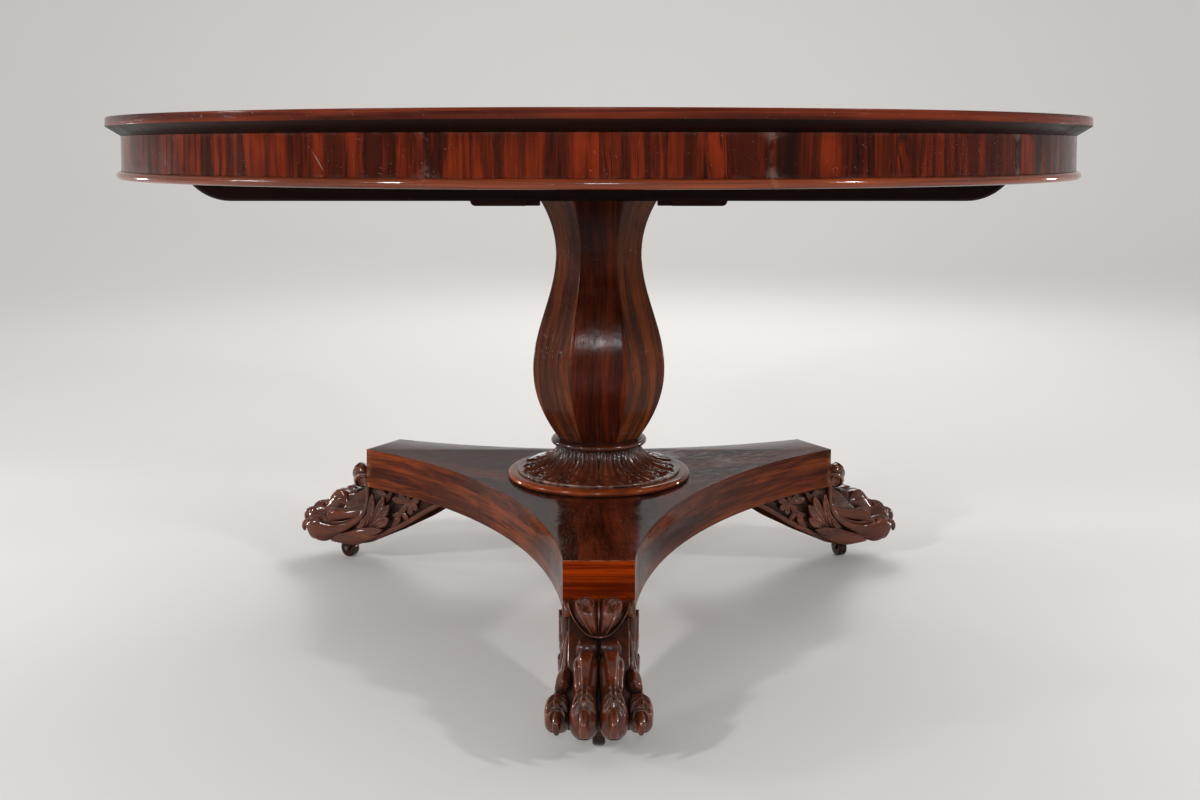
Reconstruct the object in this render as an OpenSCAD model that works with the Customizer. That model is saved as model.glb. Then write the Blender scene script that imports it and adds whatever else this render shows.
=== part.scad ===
// Round tilt-top centre table: an octagonal baluster column on a three-armed platform,
// with carved paw feet and small brass castors.
// Millimetres. The origin is on the floor under the middle of the column, +Z is up,
// and one foot points to -Y. The top tilts about a pair of pins at the left end of the head block.

/* [Overall] */
// Height from the floor to the upper face of the top
table_h = 733.5; // [715:0.5:760]
// Diameter of the top
top_d = 1380; // [1320:5:1440]

/* [Top] */
// Thickness of the top panel
top_t = 24; // [20:0.5:28]
// Height of the upright rim of the panel, above its bevelled underside
rim_h = 12.2; // [8:0.2:16]
// How far the rim stands out past the frieze
rim_out = 19.3; // [10:0.1:30]
// Height of the veneered frieze
frieze_h = 46.3; // [40:0.1:56]
// Thickness of the frieze, inside to outside
frieze_t = 25.7; // [18:0.1:32]
// Height of the bead moulding under the frieze
bead_h = 10.7; // [8:0.1:14]
// How far the bead's nose stands out past the frieze
bead_out = 6.1; // [5:0.1:9]
// Width of the bead moulding's flat backing
bead_backing = 18; // [12:0.5:24]
// Number of curved pieces in the frieze and in the bead
ring_pieces = 12; // [10:1:14]
// Length of a glue block inside the frieze
glue_block_l = 70; // [50:1:90]
// Height and depth of a glue block
glue_block_w = 28; // [20:1:32]

/* [Bearers] */
// Thickness of each bearer
bearer_t = 34; // [28:0.5:40]
// Height of each bearer
bearer_h = 89.1; // [82:0.1:96]
// Distance along a bearer from its end to the frieze
bearer_end_gap = 43.3; // [35:0.1:60]
// Radius of the quarter-round at each bearer's end
bearer_end_r = 75; // [60:1:80]
// Chamfer along a bearer's lower edges
bearer_chamfer = 3.5; // [1:0.5:6]
// Distance from the start of a bearer's quarter-round to its last screw
bearer_screw_inset = 59; // [45:1:80]

/* [Head block and tilt] */
// Length of the head block, along the bearers
block_l = 360; // [330:1:400]
// Width of the head block, between the bearers
block_w = 231.4; // [220:0.1:250]
// Height of the head block
block_h = 88.7; // [82:0.1:94]
// Distance from the block's left end to the pivot pins
pivot_inset = 30; // [26:0.5:36]
// Depth of the pivot pins' axis below the panel
pivot_drop = 54.5; // [50:0.5:56]
// Diameter of the pivot pins
pin_d = 16; // [12:0.5:20]
// How far a pivot pin reaches into the block
pin_reach = 40; // [30:1:50]
// Length of the cleat under the block, end to end
cleat_l = 380; // [340:1:420]
// Width of the cleat, front to back
cleat_w = 50; // [40:1:60]
// Thickness of the cleat
cleat_t = 12.4; // [10:0.2:16]
// Radius of the cleat's lower outer corners
cleat_r = 8; // [5:0.5:9.5]
// Distance from the cleat's end to its screws
cleat_screw_inset = 24; // [18:0.5:30]

/* [Catch] */
// Length of the brass catch case
catch_l = 74; // [70:1:84]
// Width of the catch case
catch_w = 42; // [38:1:48]
// Height of the catch case
catch_h = 15; // [14:0.5:18]
// Width of the sliding bolt
bolt_w = 13; // [11:0.5:15]
// Thickness of the sliding bolt
bolt_t = 7; // [6:0.5:8]
// Travel of the sliding bolt
bolt_travel = 14; // [12:0.5:16]
// Clear distance between the withdrawn bolt and the block
bolt_stand_off = 4; // [3.5:0.5:6]
// Thickness of the brass keep plate let into the block
keep_t = 2.5; // [2:0.5:4]

/* [Column] */
// Width across flats at the head of the column
head_w = 176; // [160:1:190]
// Width across flats at the neck
neck_w = 127; // [110:1:140]
// Width across flats at the belly
belly_w = 194; // [180:1:210]
// Width across flats where the column meets the turned ring
waist_w = 118; // [112:1:130]
// Distance from the column's head down to its neck
neck_drop = 82.2; // [70:0.2:95]
// Height of the belly above the turned ring
belly_rise = 106.3; // [90:0.1:120]
// Flat bands down each curve of a facet
facet_steps = 10; // [6:1:14]
// Diameter of the round tenon at the column's foot
foot_tenon_d = 64; // [50:1:76]
// Side of the square tenon at the column's head
head_tenon_w = 70; // [56:1:84]

/* [Collar] */
// Height of the turned ring under the column
ring_h = 14; // [11:0.5:17]
// Diameter of the turned ring
ring_d = 143.6; // [136:0.2:150]
// Height of the carved collar
collar_h = 37; // [30:0.5:42]
// Diameter of the collar's leaf tips
collar_d = 244; // [230:1:252]
// Diameter of the collar at its top
collar_top_d = 124; // [116:1:132]
// Number of broad leaves round the collar
collar_leaves = 12; // [10:1:14]
// How far a leaf stands out of the collar's hollow
collar_rise = 1.8; // [1.2:0.1:2.4]
// Thickness of the collar at its lip
collar_lip = 5; // [4:0.5:6]
// Height of the round plinth under the collar
plinth_h = 10.5; // [8:0.5:14]
// Diameter of the round plinth
plinth_d = 273; // [262:1:285]

/* [Platform] */
// Thickness of the platform
platform_t = 62.3; // [54:0.1:70]
// Distance from the middle to the end of each arm
arm_reach = 414.7; // [400:0.1:430]
// Width of each arm's end
arm_w = 87; // [80:0.5:96]
// Distance from the middle to the hollow of each side
side_depth = 171.5; // [160:0.5:185]

/* [Feet] */
// Height of a carved foot, castor plate to platform
foot_h = 102.2; // [95:0.1:110]
// How far the claws stand out past the arm's end
paw_l = 153.3; // [142:0.1:165]
// Width of a paw across its outer toes
paw_w = 126; // [116:1:136]
// How far a foot's bracket runs back under the arm
bracket_l = 172; // [150:1:190]
// Diameter of a claw at its root
claw_d = 12; // [9:0.5:14]
// Width of a foot's bracket
bracket_w = 72; // [66:1:78]

/* [Castors] */
// Height of a castor, floor to foot
castor_h = 36; // [34.5:0.1:40]
// Diameter of a castor wheel
wheel_d = 30; // [28:0.2:30.4]
// Width of a castor wheel
wheel_w = 15; // [12:0.5:18]
// Distance from the arm's end to a castor's swivel axis
castor_out = 63.3; // [60:0.1:67]
// Distance from a castor's swivel axis to its axle
trail = 11; // [8:0.5:12]
// Way that each castor trails, from straight out: front, left and right
castor_turn = [180, 0, 80];
// Diameter of a castor's plate
plate_d = 36; // [32:1:40]
// Thickness of a castor's plate
plate_t = 3; // [2.5:0.1:3.5]
// Diameter of a castor's swivel stem
stem_d = 8; // [7:0.5:10]
// Diameter of a castor's axle
axle_d = 5; // [4:0.5:6]

/* [Clearances] */
// Gap between pieces of different bodies that face each other
run_gap = 0.3; // [0.2:0.05:0.5]
// Gap round a fixed tenon, a glued curved joint or a butt joint
glue_gap = 0.15; // [0.1:0.05:0.3]
// Radial gap of a shaft that turns in its bore
shaft_gap = 0.05; // [0.03:0.01:0.08]

/* [Screws] */
// Diameter of the large screws' shank
screw_d = 6; // [5:0.5:7]
// Diameter of the large screws' head
screw_head_d = 12; // [10:0.5:13]
// Thickness of the large screws' head
screw_head_t = 5; // [4:0.5:6]
// How far a bearer's screws go into the top
screw_bite = 15; // [12:0.5:17]
// Diameter of the small screws' shank
small_screw_d = 3; // [2.5:0.25:3.5]
// How far the small screws go into the wood
small_screw_bite = 10; // [8:0.5:12]
// How far the foot's screws go into the platform
foot_screw_bite = 40; // [34:0.5:46]
// Depth in the foot of its screws' heads
foot_screw_under = 25; // [20:0.5:30]
// How far the cleat's screws go into the block
cleat_screw_bite = 20; // [15:0.5:26]

/* [Hidden] */

rosewood = "#4a1810";
rosewood_light = "#6b2a18";
mahogany = "#5a2418";
core_wood = "#7a5230";
brass = "#6f5528";
steel = "#55524e";

// Directions of the three feet, in the order front, left, right
foot_turn = [-90, 150, 30];

// Heights of the seats, from the floor up
platform_z = castor_h + foot_h;
plinth_z = platform_z + platform_t;
collar_z = plinth_z + plinth_h;
ring_z = collar_z + collar_h;
column_z = ring_z + ring_h;
under_top_z = table_h - top_t;
block_top_z = under_top_z - run_gap;
block_z = block_top_z - block_h;
bearer_z = under_top_z - bearer_h;
frieze_z = under_top_z - frieze_h;
bead_z = frieze_z - bead_h;

top_r = top_d / 2;
frieze_r = top_r - rim_out;
frieze_in_r = frieze_r - frieze_t;
bearer_y = block_w / 2 + run_gap;
bearer_l = 2 * (sqrt(pow(frieze_in_r, 2) - pow(bearer_y + bearer_t, 2)) - bearer_end_gap);
pivot_x = -block_l / 2 + pivot_inset;
pivot_z = under_top_z - pivot_drop;
nose_r = pivot_drop - 2 * run_gap;

// Places of the bearers' screws, from the middle
bearer_screw_pitch = (bearer_l / 2 - bearer_end_r - bearer_screw_inset) / 2;
bearer_screw_x = [for (i = [-2 : 2]) i * bearer_screw_pitch];
bearer_screw_pocket = bearer_h * 2 / 3;
// How far a hole or a cut runs past the face it leaves, and how much wider a screw's clearance hole is
past = 1;
ease_d = 0.4;

bolt_z = under_top_z - catch_h / 2 - bolt_t / 2 - 1;
bolt_x = block_l / 2 + bolt_stand_off;
case_x = bolt_x + 2;
bolt_l = catch_l - bolt_travel - 6;
knob_d = 8;
knob_drop = 12;
knob_x = bolt_x + bolt_l - knob_d;
catch_screw_inset = 5;
keep_w = bolt_w + 26;
// The keep plate reaches further below the bolt than above it, and stays under the block's upper face
keep_over = 2.5;
keep_z = bolt_z - 8;
keep_h = bolt_z + bolt_t + keep_over - keep_z;
keep_screw_y = bolt_w / 2 + 7;

swivel_u = arm_reach + castor_out;
axle_z = wheel_d / 2;
crown_z = wheel_d + 0.5;
plate_z = castor_h - plate_t;
stem_l = 24;
cheek_t = 2.6;
castor_screw_r = plate_d / 2 - 5;

// Points between given ones: a smooth curve through the list p, at the share s of its length
function along(p, s) =
    let (n = len(p) - 1, k = min(floor(s * n), n - 1), f = s * n - k,
         a = p[max(k - 1, 0)], b = p[k], c = p[k + 1], d = p[min(k + 2, n)])
    0.5 * (2 * b + (c - a) * f + (2 * a - 5 * b + 4 * c - d) * f * f + (3 * b - a - 3 * c + d) * f * f * f);

// A closed skin over rings of points, all with the same count
module skin(rings) {
    n = len(rings[0]);
    m = len(rings);
    sides = [for (j = [0 : m - 2], i = [0 : n - 1])
        each [[j * n + i, (j + 1) * n + (i + 1) % n, j * n + (i + 1) % n],
              [j * n + i, (j + 1) * n + i, (j + 1) * n + (i + 1) % n]]];
    caps = [[for (i = [0 : n - 1]) i], [for (i = [n - 1 : -1 : 0]) (m - 1) * n + i]];
    polyhedron([for (r = rings) each r], concat(sides, caps), convexity = 6);
}

// Place children in the frame of one foot: +X out along the arm, +Y across it
module at_foot(i) rotate([0, 0, foot_turn[i]]) children();

// A ring of curved pieces, each turned from the outline given as children
module ring_of_pieces(mid_r) {
    step = 360 / ring_pieces;
    gap = glue_gap / mid_r * 180 / PI;
    for (i = [0 : ring_pieces - 1])
        rotate([0, 0, (i + 0.5) * step + gap / 2])
            rotate_extrude(angle = step - gap, $fn = 180) children();
}

// The top

module top_panel() color(rosewood) difference() {
    rotate_extrude($fn = 240) polygon([
        [0, under_top_z], [frieze_r, under_top_z], [top_r, table_h - rim_h],
        [top_r, table_h - 1], [top_r - 1, table_h], [0, table_h]]);
    bearer_screw_places() cylinder(d = screw_d, h = screw_bite + past, $fn = 24);
    catch_screw_places() cylinder(d = small_screw_d, h = small_screw_bite + past, $fn = 24);
}

module frieze() color(rosewood_light) ring_of_pieces(frieze_r)
    translate([frieze_in_r, frieze_z]) square([frieze_t, frieze_h]);

module bead_moulding() color(rosewood_light) ring_of_pieces(frieze_r) {
    nose = bead_h / 2;
    translate([frieze_r - bead_backing, bead_z]) square([bead_backing + bead_out - nose, bead_h]);
    intersection() {
        translate([frieze_r + bead_out - nose, bead_z + nose]) circle(r = nose, $fn = 48);
        translate([frieze_r + bead_out - nose, bead_z]) square([nose, bead_h]);
    }
}

// Three-sided blocks rubbed into the corner of frieze and panel, over the frieze's butt joints
module glue_blocks() color(core_wood) intersection() {
    translate([0, 0, bead_z]) cylinder(r = frieze_in_r - glue_gap, h = under_top_z - bead_z, $fn = 180);
    for (i = [0 : ring_pieces - 1])
        rotate([0, 0, (i + 0.5) * 360 / ring_pieces])
            translate([0, glue_block_l / 2, 0]) rotate([90, 0, 0]) linear_extrude(glue_block_l)
                polygon([
                    [frieze_in_r - glue_block_w, under_top_z],
                    [frieze_in_r + 2, under_top_z],
                    [frieze_in_r + 2, under_top_z - glue_block_w - 2],
                    [frieze_in_r - 4, under_top_z - glue_block_w + 4]]);
}

// The bearers

module bearer_screw_places() for (side = [-1, 1], x = bearer_screw_x)
    translate([x, side * (bearer_y + bearer_t / 2), under_top_z]) children();

module bearer_side_outline() {
    half = bearer_l / 2;
    r = bearer_end_r;
    translate([-half, bearer_z + r]) square([bearer_l, bearer_h - r]);
    translate([-half + r, bearer_z]) square([bearer_l - 2 * r, bearer_h]);
    for (side = [-1, 1]) translate([side * (half - r), bearer_z + r]) circle(r = r, $fn = 96);
}

module bearer_end_outline() {
    c = bearer_chamfer;
    polygon([[bearer_y, bearer_z + c], [bearer_y + c, bearer_z],
             [bearer_y + bearer_t - c, bearer_z], [bearer_y + bearer_t, bearer_z + c],
             [bearer_y + bearer_t, under_top_z], [bearer_y, under_top_z]]);
}

// The rear bearer; the front one is its mirror image
module bearer() color(rosewood) difference() {
    intersection() {
        translate([0, bearer_y + bearer_t, 0]) rotate([90, 0, 0]) linear_extrude(bearer_t) bearer_side_outline();
        translate([-bearer_l / 2, 0, 0]) rotate([90, 0, 90]) linear_extrude(bearer_l) bearer_end_outline();
    }
    translate([pivot_x, bearer_y - 1, pivot_z]) rotate([-90, 0, 0])
        cylinder(d = pin_d + 2 * glue_gap, h = bearer_t + 2, $fn = 48);
    bearer_screw_places() {
        translate([0, 0, -bearer_h - past]) cylinder(d = screw_d + ease_d, h = bearer_h + 2 * past, $fn = 24);
        translate([0, 0, -bearer_h - past])
            cylinder(d = screw_head_d + 2 * ease_d, h = bearer_screw_pocket + past, $fn = 24);
    }
}

module bearer_rear() bearer();

module bearer_front() mirror([0, 1, 0]) bearer();

// A wood screw that points up, with its head's top at the given depth below the origin
module screw_up(shank_d, head_d, head_t, under, bite) {
    translate([0, 0, -under]) cylinder(d = shank_d - 0.2, h = under + bite - 0.5, $fn = 24);
    difference() {
        translate([0, 0, -under - head_t]) cylinder(d1 = head_d * 0.8, d2 = head_d, h = head_t, $fn = 24);
        translate([-head_d / 2, -0.6, -under - head_t - 1]) cube([head_d, 1.2, 1 + head_t / 3]);
    }
}

module bearer_screws() color(steel) bearer_screw_places()
    screw_up(screw_d, screw_head_d, screw_head_t, bearer_h - bearer_screw_pocket, screw_bite);

module pivot_pins() color(steel) for (side = [0, 1]) mirror([0, side, 0])
    translate([pivot_x, bearer_y + bearer_t, pivot_z]) rotate([90, 0, 0])
        cylinder(d = pin_d, h = bearer_t + run_gap + pin_reach, $fn = 48);

// The catch

module catch_screw_places() for (x = [catch_screw_inset, catch_l - catch_screw_inset], side = [-1, 1])
    translate([case_x + x, side * (catch_w / 2 - catch_screw_inset), under_top_z]) children();

module catch_case() color(brass) difference() {
    translate([case_x, -catch_w / 2, under_top_z - catch_h]) cube([catch_l, catch_w, catch_h]);
    translate([case_x - 1, -bolt_w / 2 - run_gap, bolt_z - run_gap])
        cube([catch_l - 2, bolt_w + 2 * run_gap, bolt_t + 2 * run_gap]);
    translate([knob_x - bolt_travel - knob_d / 2 - 1, -knob_d / 2 - run_gap, under_top_z - catch_h - 1])
        cube([bolt_travel + knob_d + 2, knob_d + 2 * run_gap, catch_h / 2]);
    catch_screw_places() translate([0, 0, -catch_h - 1]) cylinder(d = small_screw_d + ease_d, h = catch_h + 2, $fn = 24);
}

module catch_screws() color(brass) catch_screw_places()
    screw_up(small_screw_d, small_screw_d * 2, small_screw_d / 2, catch_h, small_screw_bite);

module catch_bolt() color(brass) {
    translate([bolt_x, -bolt_w / 2, bolt_z]) cube([bolt_l, bolt_w, bolt_t]);
    translate([knob_x, 0, bolt_z - knob_drop]) {
        cylinder(d = knob_d - 2, h = knob_drop + 1, $fn = 36);
        sphere(d = knob_d, $fn = 36);
    }
}

module keep_screw_places() for (side = [-1, 1])
    translate([block_l / 2, side * keep_screw_y, bolt_z + bolt_t / 2]) rotate([0, -90, 0]) children();

module catch_keep() color(brass) difference() {
    translate([block_l / 2 - keep_t, -keep_w / 2 + glue_gap, keep_z + glue_gap])
        cube([keep_t, keep_w - 2 * glue_gap, keep_h - 2 * glue_gap]);
    keep_slot();
    keep_screw_places() translate([0, 0, -past]) cylinder(d = small_screw_d + ease_d, h = keep_t + 2 * past, $fn = 24);
}

// The space that the bolt shoots into
module keep_slot() translate([block_l / 2 - bolt_travel, -bolt_w / 2 - 0.6, bolt_z - 0.6])
    cube([bolt_travel + 1, bolt_w + 1.2, bolt_t + 1.2]);

module keep_screws() color(brass) keep_screw_places() {
    translate([0, 0, keep_t]) cylinder(d = small_screw_d - 0.2, h = small_screw_bite, $fn = 24);
    translate([0, 0, 0.2]) cylinder(d = small_screw_d, h = keep_t - 0.2, $fn = 24);
}

// The head block and its cleat

cleat_screw_d = small_screw_d + 1;
cleat_screw_pocket = cleat_t / 4;

module cleat_screw_places() for (x = [-1, 1], y = [-1, 1])
    translate([x * (cleat_l / 2 - cleat_screw_inset), y * cleat_w / 4, block_z]) children();

module head_block() color(core_wood) difference() {
    union() {
        translate([pivot_x, -block_w / 2, block_z]) cube([block_l / 2 - pivot_x, block_w, block_h]);
        intersection() {
            translate([-block_l / 2, -block_w / 2, block_z]) cube([pivot_inset, block_w, block_h]);
            union() {
                translate([pivot_x, block_w / 2 + 1, pivot_z]) rotate([90, 0, 0])
                    cylinder(r = nose_r, h = block_w + 2, $fn = 120);
                translate([-block_l / 2, -block_w / 2, block_z]) cube([pivot_inset, block_w, pivot_z - block_z]);
            }
        }
    }
    for (side = [0, 1]) mirror([0, side, 0])
        translate([pivot_x, block_w / 2 - pin_reach - 1, pivot_z]) rotate([-90, 0, 0])
            cylinder(d = pin_d + 2 * shaft_gap, h = pin_reach + 2, $fn = 48);
    translate([0, 0, block_z + block_h / 2]) cube(
        [head_tenon_w + 2 * glue_gap, head_tenon_w + 2 * glue_gap, block_h + 2], center = true);
    keep_slot();
    translate([block_l / 2 - keep_t, -keep_w / 2, keep_z]) cube([keep_t + 1, keep_w, keep_h]);
    keep_screw_places() cylinder(d = small_screw_d, h = keep_t + small_screw_bite + past, $fn = 24);
    cleat_screw_places() translate([0, 0, -past]) cylinder(d = cleat_screw_d, h = cleat_screw_bite + 2 * past, $fn = 24);
}

// One half of the cleat, in the frame of its own side: it butts against the column's flat
module cleat_half() difference() {
    half = cleat_l / 2;
    inner = head_w / 2 + glue_gap;
    rebate_l = 20;
    rebate_w = 18;
    translate([0, cleat_w / 2, 0]) rotate([90, 0, 0]) linear_extrude(cleat_w) {
        translate([inner, block_z - cleat_t]) square([half - inner - cleat_r, cleat_t]);
        translate([inner, block_z - cleat_t + cleat_r]) square([half - inner, cleat_t - cleat_r]);
        intersection() {
            translate([half - cleat_r, block_z - cleat_t + cleat_r]) circle(r = cleat_r, $fn = 48);
            translate([half - cleat_r, block_z - cleat_t]) square([cleat_r, cleat_r]);
        }
    }
    for (side = [-1, 1]) translate([inner - 1, side * cleat_w / 2 - rebate_w / 2, block_z - cleat_t - 1])
        cube([rebate_l + 1, rebate_w, cleat_t + 2]);
    cleat_screw_places() translate([0, 0, -cleat_t - 1]) {
        cylinder(d = cleat_screw_d + ease_d, h = cleat_t + 2, $fn = 24);
        cylinder(d = 2 * cleat_screw_d, h = cleat_screw_pocket + past, $fn = 24);
    }
}

module head_cleats() color(core_wood) for (turn = [0, 180]) rotate([0, 0, turn]) cleat_half();

module cleat_screws() color(steel) cleat_screw_places()
    screw_up(cleat_screw_d, 2 * cleat_screw_d - 2 * ease_d, cleat_screw_d / 2, cleat_t - cleat_screw_pocket, cleat_screw_bite);

// The column: an eight-sided baluster. Its half width swells from neck to belly as a cosine
// and opens to the head and closes to the waist as parabolas.

function ease(t) = (1 - cos(180 * t)) / 2;
function column_outline() =
    let (n = facet_steps, neck_z = block_z - neck_drop, belly_z = column_z + belly_rise)
    concat(
        [for (i = [0 : n - 1]) let (t = 1 - i / n)
            [(belly_w - (belly_w - waist_w) * t * t) / 2, belly_z - belly_rise * t]],
        [for (i = [0 : 2 * n - 1]) let (t = i / (2 * n))
            [(belly_w - (belly_w - neck_w) * ease(t)) / 2, belly_z + (neck_z - belly_z) * t]],
        [for (i = [0 : n]) let (t = i / n)
            [(neck_w + (head_w - neck_w) * t * t) / 2, neck_z + neck_drop * t]]);

module column_body() {
    right = column_outline();
    left = [for (i = [len(right) - 1 : -1 : 0]) [-right[i][0], right[i][1]]];
    reach = belly_w;
    intersection_for(turn = [0, 45, 90, 135])
        rotate([0, 0, turn]) translate([0, reach / 2, 0]) rotate([90, 0, 0])
            linear_extrude(reach) polygon(concat(right, left));
}

module column() color(rosewood) difference() {
    union() {
        column_body();
        translate([0, 0, platform_z]) cylinder(d = foot_tenon_d, h = column_z - platform_z + 1, $fn = 72);
        translate([-head_tenon_w / 2, -head_tenon_w / 2, block_z - 1])
            cube([head_tenon_w, head_tenon_w, block_h + 1]);
    }
    wedge_places() wedge(glue_gap);
}

// Wedges that spread the tenons: two from above in the head block, one from below in the platform
wedge_l = 42;
wedge_t = 3;

module wedge_places() {
    for (side = [-1, 1]) translate([side * head_tenon_w / 5, 0, block_top_z]) mirror([0, 0, 1])
        scale_width(head_tenon_w) children();
    translate([0, 0, platform_z]) scale_width(foot_tenon_d) children();
}

// Sets the width that the wedge below takes
module scale_width(w) {
    $wedge_w = w;
    children();
}

module wedge(grow) {
    w = $wedge_w - 8 + 2 * grow;
    translate([0, w / 2, 0]) rotate([90, 0, 0]) linear_extrude(w) polygon([
        [-wedge_t / 2 - grow, -grow], [wedge_t / 2 + grow, -grow],
        [0.5 + grow, wedge_l + grow], [-0.5 - grow, wedge_l + grow]]);
}

module tenon_wedges() color(core_wood) wedge_places() wedge(0);

// The collar

module tenon_hole(z, h) translate([0, 0, z - 1])
    cylinder(d = foot_tenon_d + 2 * glue_gap, h = h + 2, $fn = 72);

module column_ring() color(rosewood_light) difference() {
    rotate_extrude($fn = 120) {
        square_r = ring_d / 2 - ring_h / 2;
        translate([0, ring_z]) square([square_r, ring_h]);
        translate([square_r, ring_z + ring_h / 2]) circle(r = ring_h / 2, $fn = 48);
    }
    tenon_hole(ring_z, ring_h);
}

// A hollow quarter curve that flares from the ring to the leaf tips. Broad leaves with a midrib
// stand out of it, a narrow one shows between each two, and each ends in a round tip.
module carved_collar() color(mahogany) difference() {
    union() {
        rotate_extrude($fn = 120) collar_outline(0);
        for (i = [0 : collar_leaves - 1]) rotate([0, 0, i * 360 / collar_leaves]) {
            collar_leaf_band(0.86, collar_rise);
            collar_leaf_band(0.12, 2 * collar_rise);
            collar_tip(0.34);
            rotate([0, 0, 180 / collar_leaves]) {
                collar_leaf_band(0.07, 1.5 * collar_rise);
                collar_tip(0.16);
            }
        }
    }
    tenon_hole(collar_z, collar_h);
}

// The collar's section: a hollow quarter ellipse from its top to its lip. With a rise it is a leaf's
// section, which stands that far out of the hollow and past the lip, and ends just under the top.
module collar_outline(rise) {
    low_r = collar_d / 2 - 4;
    width = low_r - collar_top_d / 2 - rise;
    drop = collar_h - collar_lip - rise;
    top_z = collar_z + collar_h;
    edge_r = low_r + 0.3 * rise;
    bottom_z = collar_z + 0.4 * rise;
    last = rise > 0 ? 84 : 90;
    steps = 10;
    polygon(concat([[0, bottom_z], [edge_r, bottom_z], [edge_r, top_z - drop]],
        [for (i = [1 : steps]) let (a = last * i / steps) [low_r - width * sin(a), top_z - drop * cos(a)]],
        [[0, top_z - drop * cos(last)]]));
}

// A band of leaf down the hollow, as wide as this share of one leaf's place
module collar_leaf_band(share, rise) {
    sweep = share * 360 / collar_leaves;
    rotate([0, 0, -sweep / 2]) rotate_extrude(angle = sweep, $fn = 120) collar_outline(rise);
}

// A leaf's round tip at the lip, with this share of one leaf's place as its radius
module collar_tip(share) {
    tip_r = share * PI * collar_d / collar_leaves;
    translate([collar_d / 2 - tip_r, 0, collar_z])
        cylinder(r = tip_r, h = collar_lip + share * collar_rise, $fn = 32);
}

module collar_plinth() color(rosewood_light) difference() {
    rotate_extrude($fn = 120) {
        edge = plinth_h / 2;
        translate([0, plinth_z]) square([plinth_d / 2 - edge, plinth_h]);
        translate([plinth_d / 2 - edge, plinth_z + edge]) circle(r = edge, $fn = 48);
    }
    tenon_hole(plinth_z, plinth_h);
}

// The platform: a plate with three square-ended arms and three hollow sides

module platform_outline() {
    // Corner of an arm in the frame whose X axis runs out through the hollow beside it
    corner_x = arm_reach * cos(60) + arm_w / 2 * sin(60);
    corner_y = arm_reach * sin(60) - arm_w / 2 * cos(60);
    side_r = (pow(corner_x - side_depth, 2) + pow(corner_y, 2)) / (2 * (corner_x - side_depth));
    difference() {
        polygon([for (turn = [-90, 30, 150], side = [-1, 1])
            [arm_reach * cos(turn) - side * arm_w / 2 * sin(turn),
             arm_reach * sin(turn) + side * arm_w / 2 * cos(turn)]]);
        for (turn = foot_turn) rotate([0, 0, turn + 180]) translate([side_depth + side_r, 0])
            circle(r = side_r, $fn = 200);
    }
}

module platform() color(rosewood_light) difference() {
    translate([0, 0, platform_z]) linear_extrude(platform_t) platform_outline();
    tenon_hole(platform_z, platform_t);
    for (i = [0 : 2]) at_foot(i) foot_screw_places() translate([0, 0, -1]) cylinder(d = screw_d, h = foot_screw_bite + past, $fn = 24);
}

// The feet

foot_screw_u = [arm_reach - bracket_l * 0.55, arm_reach - bracket_l * 0.2];

module foot_screw_places() for (u = foot_screw_u) translate([u, 0, platform_z]) children();

module foot_screws() color(steel) for (i = [0 : 2]) at_foot(i) foot_screw_places()
    screw_up(screw_d, screw_head_d, screw_head_t, foot_screw_under, foot_screw_bite);

// Places on the carved foot are shares: of the paw's length from the arm's end, of half its width, and of its
// height from the castor up
function paw_u(share) = arm_reach + paw_l * share;
function paw_v(share) = paw_w / 2 * share;
function paw_z(share) = castor_h + foot_h * share;

// A sine or cosine drawn towards a square wave
function squared(x, flat) = sign(x) * pow(abs(x), 1 / flat);

// A carved member through its sections, as oval rings. A section is its upper point, its lower point, its place
// across the foot and its half width there. The member runs outward or down, and flat above 1 squares the oval.
module member(sections, steps, sides, flat = 1)
    skin([for (j = [0 : steps])
        let (q = along(sections, j / steps),
             upper = [paw_u(q[0]), 0, paw_z(q[1])], lower = [paw_u(q[2]), 0, paw_z(q[3])],
             middle = (upper + lower) / 2 + [0, paw_v(q[4]), 0], rise = (upper - lower) / 2)
        [for (i = [0 : sides - 1]) let (c = cos(360 * i / sides), s = sin(360 * i / sides))
            middle + [0, paw_v(q[5]) * squared(c, flat), 0] + rise * squared(s, flat)]]);

// A leaf that bends from its root to its tip, widest before its middle, and rises outward as it goes
module leaf(root, bend, tip, width, lift = [0.62, 0.74], steps = 3) {
    sides = 4;
    function place(t) = (1 - t) * (1 - t) * root + 2 * t * (1 - t) * bend + t * t * tip;
    function swell(t) = 0.15 + 0.85 * sin(20 + 160 * t);
    skin([for (j = [0 : steps])
        let (t = j / steps, p = place(t), d = (1 - t) * (bend - root) + t * (tip - bend),
             run = [paw_l * d[0], foot_h * d[1]] / norm([paw_l * d[0], foot_h * d[1]]),
             half = paw_v(width) * swell(t), thick = 0.08 * swell(t),
             out = lift[0] + (lift[1] - lift[0]) * sin(90 * t))
        [for (i = [0 : sides - 1]) let (c = cos(360 * i / sides), s = sin(360 * i / sides))
            [paw_u(p[0]) - run[1] * half * s, paw_v(out + thick * c), paw_z(p[1]) + run[0] * half * s]]]);
}

// A claw that curves out and down from its root to its blunt tip, at v across the foot
module claw(root, tip, v) {
    middle = (root + tip) / 2 + [0.04, 0.02];
    ends = [[root, claw_d], [middle, claw_d * 0.85], [tip, claw_d * 0.3]];
    for (i = [0, 1]) hull() for (end = [ends[i], ends[i + 1]])
        translate([paw_u(end[0][0]), paw_v(v), paw_z(end[0][1])]) sphere(d = end[1], $fn = 8);
}

module both_sides() for (side = [0, 1]) mirror([0, side, 0]) children();

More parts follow.
